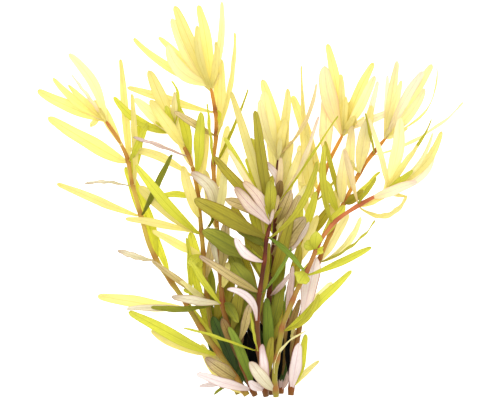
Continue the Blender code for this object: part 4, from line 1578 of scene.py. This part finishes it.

# Leaves inside the bunch that the solid model leaves out, by stem. Those of the dark tint are
# painted shade: near-black leaves in the bunch's shaded hollows.
INNER: dict[str, tuple[Whorl, ...]] = {
    "far_left": (
        whorl(2, (-24.5, 25.5, -14, -3, 0, 6, "yellow")),
        whorl(12, (-19, 40, -4, 0, 0, 7, "deep")),
        whorl(20, (-31, 45.5, -6, 0, 0, 5, "gold")),
        whorl(60, (-51.5, 88, -4, 0, 0, 4, "lime")),
        whorl(112, (-55, 138.5, 2, 0, 10, 5, "lime")),
        whorl(118, (-51, 137.5, 8, 0, 20, 3.5, "lime")),
        whorl(126, (-77, 149.5, 4, 0, 0, 5, "yellow")),
    ),
    "left": (
        whorl(2, (-23.5, 37.5, -2, 0, 0, 7, "deep")),
        whorl(3, (-16, 26, 0, -1, 0, 7, "deep"), (-8, 15, 0, 0, 0, 6, "deep")),
        whorl(5, (-17.5, 39.5, 2, 0, 0, 8, "deep"), (-21, 32.5, 4, 0, 0, 6, "deep")),
        whorl(8, (-9, 26, 6, 0, 0, 7, "deep")),
        whorl(10, (-14, 39.5, 6, 0, 0, 8, "deep")),
        whorl(12, (-6, 37.5, 8, 0, 0, 6, "deep")),
        whorl(14, (-26, 48.5, 0, 0, 0, 5, "moss")),
        whorl(20, (-22, 48.5, 2, 0, 0, 6, "moss")),
        whorl(24, (-15.5, 50.5, 2, 0, 0, 6, "olive")),
        whorl(32, (-25, 52.5, 4, 0, 10, 5, "gold")),
        whorl(36, (-14, 58.5, 6, 0, 0, 5, "olive")),
        whorl(40, (-30, 67.5, 2, 0, 20, 4, "lime")),
        whorl(44, (-21, 66, 2, 0, 0, 5, "moss")),
        whorl(56, (-30, 82.5, 0, 0, 0, 6, "lime")),
        whorl(60, (-19, 80.5, 8, 0, 20, 4.5, "khaki")),
        whorl(90, (-34, 116, 2, 0, 0, 5.5, "yellow")),
        whorl(115, (-39, 142.5, 2, 0, 0, 6, "lemon")),
        whorl(125, (-50, 148.5, 4, 0, 0, 6, "yellow")),
    ),
    "tall_left": (
        whorl(2, (-7, 23.5, -6, 0, 0, 7, "deep")),
        whorl(6, (-3.5, 33.5, 2, 0, 0, 8, "dark")),
        whorl(8, (1, 39.5, 4, 0, 0, 6, "dark")),
        whorl(12, (-12, 38.5, 0, 0, 0, 6, "brown")),
        whorl(22, (-7.5, 45.5, -6, 0, 0, 6, "brown")),
        whorl(28, (-2, 48.5, -4, 0, 0, 6, "moss")),
        whorl(34, (-5, 56, 4, 0, 0, 6, "olive")),
        whorl(36, (-9, 50.5, -8, 0, 0, 6, "moss")),
        whorl(44, (-9, 64.5, -10, 0, 0, 6, "olive")),
        whorl(52, (-7, 75.5, -8, 0, 0, 5, "olive")),
        whorl(55, (-11, 67.5, 2, 0, 0, 4.5, "yellow")),
        whorl(84, (-22.5, 113.5, 4, 0, 0, 5, "yellow")),
        whorl(88, (-12, 116, 2, 0, 20, 4.5, "lemon")),
        whorl(104, (-11, 136, -4, 0, 0, 5, "yellow")),
        whorl(138, (-15, 168.5, -4, 0, 0, 6, "yellow")),
    ),
    "centre_front": (
        whorl(2, (-2, 22.5, -16, 0, 0, 7, "dark")),
        whorl(8, (11, 30, -12, 0, 0, 5, "olive")),
        whorl(30, (-5, 57.5, -8, 0, 0, 7, "moss")),
        whorl(32, (0, 53.5, -12, 0, 0, 6, "olive")),
        whorl(46, (-7, 79.5, -14, 0, 0, 7, "olive")),
        whorl(50, (-11, 73.5, -8, 0, 0, 7, "moss")),
        whorl(60, (-2, 84.5, -10, 0, 0, 6, "olive")),
        whorl(62, (2, 91, -14, 0, 0, 6, "lime")),
        whorl(70, (-9, 96, -16, 0, 0, 5.5, "olive")),
        whorl(72, (6, 103.5, -10, 0, 0, 5, "khaki")),
        whorl(74, (-2.5, 108.5, -12, 0, 0, 5, "gold")),
        whorl(76, (-12, 91.5, -12, 0, 0, 6, "moss")),
        whorl(78, (11, 110.5, -4, 0, 0, 4.5, "gold")),
    ),
    "centre_back": (
        whorl(8, (6, 37.5, 6, 0, 0, 6, "dark")),
        whorl(10, (-1, 28.5, 0, 0, 0, 8, "dark")),
        whorl(22, (0, 39.5, 4, 0, 0, 6, "deep")),
        whorl(26, (15, 48.5, 4, 0, 0, 6, "olive")),
        whorl(32, (16.5, 57.5, 8, 0, 0, 6, "moss")),
        whorl(34, (3, 54.5, 4, 0, 0, 5, "brown")),
        whorl(45, (17.5, 73.5, 4, 0, 0, 5.5, "moss")),
        whorl(60, (21, 91, 2, 0, 0, 6, "olive")),
        whorl(62, (6, 82.5, 10, 0, 0, 5, "moss")),
        whorl(72, (25, 101, 8, 0, 0, 5.5, "khaki")),
        whorl(76, (17, 113.5, 4, 0, 0, 6, "peach")),
        whorl(82, (4, 118.5, -2, 0, 0, 6, "lime")),
        whorl(84, (28.5, 106, 4, 0, 0, 4.5, "lemon")),
        whorl(90, (25, 123.5, 6, 0, 0, 5, "lemon")),
        whorl(92, (-2, 119.5, 0, 0, 0, 5, "gold")),
        whorl(94, (21, 128.5, 2, 0, 0, 5, "yellow")),
        whorl(96, (1.5, 128.5, 0, 0, 0, 5.5, "yellow")),
        whorl(104, (18.5, 142.5, -4, 0, 0, 6, "yellow")),
        whorl(108, (9, 139.5, 4, 0, 0, 5, "lemon")),
    ),
    "tall_right": (
        whorl(8, (17, 39.5, 10, 0, 0, 5, "brown")),
        whorl(3, (18.5, 24, 4, 0, 0, 6, "mauve")),
        whorl(12, (13, 31, 8, 0, 0, 5, "brown")),
        whorl(22, (15, 46.5, 12, 0, 0, 5, "moss")),
        whorl(28, (25, 48.5, 8, 0, 20, 4, "brown")),
        whorl(30, (20.5, 56, 14, 0, 0, 5, "green")),
        whorl(50, (25, 76, 16, 0, 0, 5, "olive")),
        whorl(55, (31, 67.5, 10, 0, 20, 5, "lime")),
        whorl(66, (34, 91, 12, 0, 0, 5, "yellow")),
        whorl(72, (25, 98.5, 14, 0, 0, 5, "lime")),
        whorl(90, (25, 126, 8, 0, 0, 5.5, "straw")),
        whorl(104, (26, 142.5, -2, 0, 0, 6, "yellow")),
        whorl(118, (38.5, 154, 4, 0, 0, 7, "peach")),
    ),
    "right": (
        whorl(8, (21, 36, -6, 0, 0, 6, "dark")),
        whorl(10, (23.5, 33.5, -2, 0, 0, 5, "brown")),
        whorl(84, (47.5, 116, 4, 0, 0, 5, "yellow")),
        whorl(92, (37.5, 108.5, 6, 0, 0, 5, "lime")),
        whorl(104, (51, 136, 4, 0, 0, 5.5, "straw")),
        whorl(116, (61, 146, 4, 0, 0, 5, "yellow")),
    ),
    "far_right": (
        whorl(80, (47.5, 96, -6, 0, 0, 5, "lime")),
        whorl(100, (84, 108, 2, 0, 0, 5, "blush")),
    ),
}


@dataclass
class StemPiece:
    """A stem with the low leaves that are fused to it.

    The cut's rings are shares of the stem's radius, the cap reaches past the stem by some gaps,
    and the shades are the least and the most.
    """

    name: str
    plan: StemPlan
    slimness: float = 1.04
    swelling: float = 0.26
    node_length: float = 2.4
    rows_per_mm: float = 0.9
    sides: int = 14
    cut_rings: tuple[float, ...] = (0.0, 0.55, 0.86, 0.98)
    cap_gaps: float = 2.0
    shades: Pair = (0.94, 1.06)

    def nearness(self, height: float) -> float:
        """How near a height is to a swollen node, from 0 to 1."""
        nodes = self.plan.node_heights()[:-1]
        shares = (math.exp(-(((height - node) / self.node_length) ** 2)) for node in nodes)
        return min(sum(shares), 1.0)

    def rings(self) -> list[Ring]:
        """The tube's rings: a flat cut below, swollen nodes, and a round end under the bud."""
        plan = self.plan
        bottom = plan.path[0][1]
        count = round((plan.top - bottom) * self.rows_per_mm)
        rings = []
        for number in range(count + 1):
            height = bottom + (plan.top - bottom) * number / count
            radius = plan.radius(height) * (self.slimness + self.swelling * self.nearness(height))
            knot = self.nearness(height - self.node_length / 2)
            rings.append(Ring(plan.smooth_point(height), plan.direction(height), radius, knot))
        foot, head = rings[0], rings[-1]
        cut = [
            Ring(foot.middle, foot.direction, foot.radius * share, pith=1.0)
            for share in self.cut_rings
        ]
        end = head.middle + head.direction * GAP * self.cap_gaps
        return [*cut, *rings, Ring(end, head.direction, 0.0, head.knot)]

    def build(self) -> bpy.types.Object:
        """Makes the stem and its low leaves."""
        plan = self.plan
        node = f"stem_{self.name}"
        solid = SolidNode(node)
        piece = Piece(f"look_{node}")
        shade = piece.rng.uniform(*self.shades)
        piece.tube(self.rings(), self.sides, finish_of(plan.bark), shade)
        for ring in plan.low:
            depth = plan.radius(ring.height) / 2
            root_of = partial(plan.root_beside, height=ring.height, from_axis=depth)
            for leaf in ring.leaves:
                piece.leaf(solid.course(leaf, root_of), leaf.tint)
        return piece.finish(SLOTS[plan.bark], node)


@dataclass
class WhorlPiece:
    """The leaves of one node of a stem."""

    name: str
    number: int
    plan: StemPlan

    def build(self) -> bpy.types.Object:
        """Makes the whorl's leaves."""
        plan = self.plan
        ring = plan.whorls[self.number - 1]
        node = f"leaves_{self.name}_{self.number}"
        solid = SolidNode(node)
        piece = Piece(f"look_{node}")
        from_axis = plan.collar_root(ring.height)
        root_of = partial(plan.root_beside, height=ring.height, from_axis=from_axis)
        for leaf in ring.leaves:
            piece.leaf(solid.course(leaf, root_of), leaf.tint)
        return piece.finish(SLOTS[ring.leaves[0].tint], node)


@dataclass(frozen=True)
class Sprout:
    """A tiny young leaf of a bud. A pair is the least and the most of what its name says."""

    start: float = 0.5
    length: float = 12.0
    length_shares: Pair = (0.6, 1.15)
    leans: Pair = (0.25, 0.75)
    lowest_tip: float = 0.6
    near_lean: float = 0.5
    near_share: float = 0.3
    far_share: float = 0.35
    bend_shares: Pair = (-0.05, 0.12)
    rolls: Pair = (-30, 30)
    width_shares: Pair = (0.16, 0.24)
    columns: int = 4
    rows: int = 12

    def grow(self, piece: Piece, axis: Vector, direction: Vector, tint: Tint) -> None:
        """Adds one such leaf.

        Args:
            piece: The piece that it belongs to.
            axis: The point of the bud's axis that it grows from.
            direction: The way the bud runs.
            tint: Its tint.
        """
        rng = piece.rng
        side = direction.orthogonal().normalized()
        outward = Quaternion(direction, rng.uniform(0, math.tau)) @ side
        length = self.length * rng.uniform(*self.length_shares)
        root = axis + outward * self.start
        lean = direction + outward * rng.uniform(*self.leans)
        tip = root + lean.normalized() * length
        tip.z = max(tip.z, self.lowest_tip)
        near = root + (outward * self.near_lean + direction) * (length * self.near_share)
        bend = length * rng.uniform(*self.bend_shares)
        far = tip - (tip - root) * self.far_share + outward * bend
        roll = rng.uniform(*self.rolls)
        width = length * rng.uniform(*self.width_shares)
        course = Course(axis, (root, near, far, tip), roll, width, SHORT_OUTLINE)
        piece.blade(course, finish_of(tint), BladeForm.drawn(rng), self.columns, self.rows)


@dataclass
class CrownPiece:
    """The bud at the top of a stem, with its leaves and its youngest ones."""

    name: str
    plan: StemPlan
    bud_rows: int = 10
    bud_sides: int = 10
    bud_taper: float = 0.6
    sprout: Sprout = Sprout()
    sprouts: int = 7
    sprouts_from: float = 0.25
    sprouts_run: float = 0.6

    def build(self) -> bpy.types.Object:
        """Makes the bud and all its leaves."""
        plan = self.plan
        node = f"crown_{self.name}"
        solid = SolidNode(node)
        piece = Piece(f"look_{node}")
        start, end = plan.bud_axis()
        direction = (end - start).normalized()
        foot = start - direction * GAP
        rings = [Ring(foot, direction, 0.0)]
        for number in range(self.bud_rows + 1):
            share = number / self.bud_rows
            radius = plan.radius(plan.top) * (1 - share) ** self.bud_taper
            rings.append(Ring(foot.lerp(end, share), direction, radius))
        piece.tube(rings, self.bud_sides, finish_of(plan.bark), blush=1.0)
        for number, leaf in enumerate(plan.crown):
            share = BUD_ROOTS_FROM + number * BUD_ROOTS_RUN / len(plan.crown)
            root_of = partial(plan.root_in_bud, share=share)
            piece.leaf(solid.course(leaf, root_of), leaf.tint)
        for number in range(self.sprouts):
            tint = plan.crown[number % len(plan.crown)].tint
            share = self.sprouts_from + self.sprouts_run * number / self.sprouts
            self.sprout.grow(piece, start.lerp(end, share), direction, tint)
        return piece.finish(SLOTS[plan.crown[0].tint], node)


class Bed:
    """What lies in the bunch already, for leaves that have to find a free place."""

    def __init__(self) -> None:
        """Takes every solid of the frame, in millimetres of the plan."""
        self.trees: dict[str, BVHTree] = {}
        self.ways = sorted(
            WAYS, key=lambda way: abs(way[0] + USUAL_DROP) + abs(way[2]) / SWING_PER_LIFT
        )[:WAYS_TRIED]
        for name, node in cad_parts.items():
            mesh = node.data
            places = [v.co / MM + PLAN_CENTRE for v in mesh.vertices]
            self.trees[name] = BVHTree.FromPolygons(places, [p.vertices for p in mesh.polygons])

    def touches(self, strip: BVHTree, skipped: str) -> int:
        """How many faces a strip meets, but for one solid's."""
        return sum(len(strip.overlap(t)) for name, t in self.trees.items() if name != skipped)

    def lay(self, leaf: Leaf, stem: str, root_of: RootOf) -> Course:
        """Finds the place of a leaf that no solid stands for.

        Args:
            leaf: The leaf.
            stem: The node that it grows from.
            root_of: Gives its root for a swing round the stem.

        Returns:
            The first course that meets nothing, or the one that meets least.
        """
        short = is_short(leaf, root_of)
        best: tuple[int, Course, BVHTree] | None = None
        for lift, bow, swing in self.ways:
            course = Course.of(leaf, root_of(leaf, swing), lift, bow, short)
            strip = self.strip(course)
            met = self.touches(strip, stem)
            if best is None or met < best[0]:
                best = (met, course, strip)
            if not met:
                break
        _, course, strip = best
        self.trees[f"inner_{len(self.trees)}"] = strip
        return course

    @staticmethod
    def strip(course: Course) -> BVHTree:
        """A course's blade past its root, as a coarse strip."""
        edges = []
        for number in range(STRIP_STATIONS + 1):
            t = STRIP_FROM + (1 - STRIP_FROM) * number / STRIP_STATIONS
            point, across, _ = course.at(t)
            side = across * (form_share(course.form, t) * course.width / 2)
            edges += [point - side, point + side]
        faces = [(i, i + 1, i + 3, i + 2) for i in range(0, 2 * STRIP_STATIONS, 2)]
        return BVHTree.FromPolygons(edges, faces)


@dataclass
class InnerPiece:
    """The leaves that fill the inside of the bunch along one stem."""

    name: str
    plan: StemPlan
    whorls: tuple[Whorl, ...]

    def build(self, bed: Bed) -> bpy.types.Object:
        """Makes the leaves, each laid on what lies there already."""
        piece = Piece(f"inner_leaves_{self.name}")
        for ring in self.whorls:
            from_axis = self.plan.radius(ring.height)
            root_of = partial(self.plan.root_beside, height=ring.height, from_axis=from_axis)
            for leaf in ring.leaves:
                piece.leaf(bed.lay(leaf, f"stem_{self.name}", root_of), leaf.tint)
        return piece.finish(SLOTS[self.whorls[0].leaves[0].tint])


@dataclass
class Bunch:
    """The whole bunch."""

    plans: dict[str, StemPlan]

    def build(self) -> None:
        """Makes every stem with its whorls, its crown and its inner leaves."""
        bed = Bed()
        for name, plan in self.plans.items():
            StemPiece(name, plan).build()
            for number in range(1, len(plan.whorls) + 1):
                WhorlPiece(name, number, plan).build()
            CrownPiece(name, plan).build()
            InnerPiece(name, plan, INNER[name]).build(bed)
            log.info("stem %s is in place", name)


@dataclass
class Studio:
    """The pale floor, the lights and the camera above, in metres.

    Each lamp is its place across and along, and its share of the power. The camera's sensor is in
    millimetres, and its framing is exact at the framed height.
    """

    floor_size: float = 6.0
    floor_white: float = 0.9
    floor_roughness: float = 0.8
    floor_glow: float = 1.0
    world_strength: float = 0.74
    lamps: tuple[Point, ...] = ((-0.2, 0.3, 0.65), (0.9, -0.3, 0.3))
    lamp_size: float = 0.7
    lamp_height: float = 1.2
    lamp_power: float = 12.0
    camera_height: float = 2.0
    camera_reach: float = 50.0
    framed_height: float = 0.025
    sensor_width: float = 36.0

    def floor(self) -> None:
        """A wide white sheet that the bunch lies on."""
        bm = bmesh.new()
        bmesh.ops.create_grid(bm, x_segments=1, y_segments=1, size=self.floor_size / 2)
        mesh = bpy.data.meshes.new("floor")
        bm.to_mesh(mesh)
        bm.free()
        graph = Graph("floor_white")
        inputs = {
            "Base Color": (self.floor_white, self.floor_white, self.floor_white, 1.0),
            "Roughness": self.floor_roughness,
            "Emission Color": (1.0, 1.0, 1.0, 1.0),
            "Emission Strength": self.floor_glow,
        }
        skin = graph.node("ShaderNodeBsdfPrincipled", {}, inputs)
        mesh.materials.append(graph.end(skin.outputs[0]))
        put("floor", mesh)

    def lights(self) -> None:
        """An even white surround, and soft lamps above the bunch."""
        world = bpy.data.worlds.new("surround")
        world.use_nodes = True
        background = world.node_tree.nodes["Background"]
        background.inputs["Color"].default_value = (1.0, 1.0, 1.0, 1.0)
        background.inputs["Strength"].default_value = self.world_strength
        bpy.context.scene.world = world
        for x, y, share in self.lamps:
            lamp = bpy.data.lights.new("softbox", "AREA")
            lamp.shape = "DISK"
            lamp.size = self.lamp_size
            lamp.energy = self.lamp_power * share
            made = put("softbox", lamp)
            made.location = (x, y, self.lamp_height)
            made.rotation_euler = (-made.location).to_track_quat("-Z", "Y").to_euler()

    def camera(self) -> None:
        """A long lens straight above, framed as the photograph."""
        data = bpy.data.cameras.new("camera")
        data.sensor_width = self.sensor_width
        across = FRAME_PIXELS.x * MM_PER_PIXEL * MM
        data.lens = self.sensor_width * (self.camera_height - self.framed_height) / across
        data.clip_end = self.camera_reach
        made = put("camera", data)
        aim = (FRAME_PIXELS / 2 - CUT_MIDDLE_PIXEL) * MM_PER_PIXEL
        made.location = (
            (aim.x - PLAN_CENTRE.x) * MM, (-aim.y - PLAN_CENTRE.y) * MM, self.camera_height
        )
        bpy.context.scene.camera = made

    def build(self) -> None:
        """Sets the studio up."""
        self.floor()
        self.lights()
        self.camera()
        bpy.context.scene.view_settings.view_transform = "Standard"


def main() -> None:
    """Builds the studio and the bunch."""
    logging.basicConfig(level=logging.INFO, format="%(name)s: %(message)s")
    Studio().build()
    Bunch(STEMS).build()


if __name__ == "__main__":
    main()
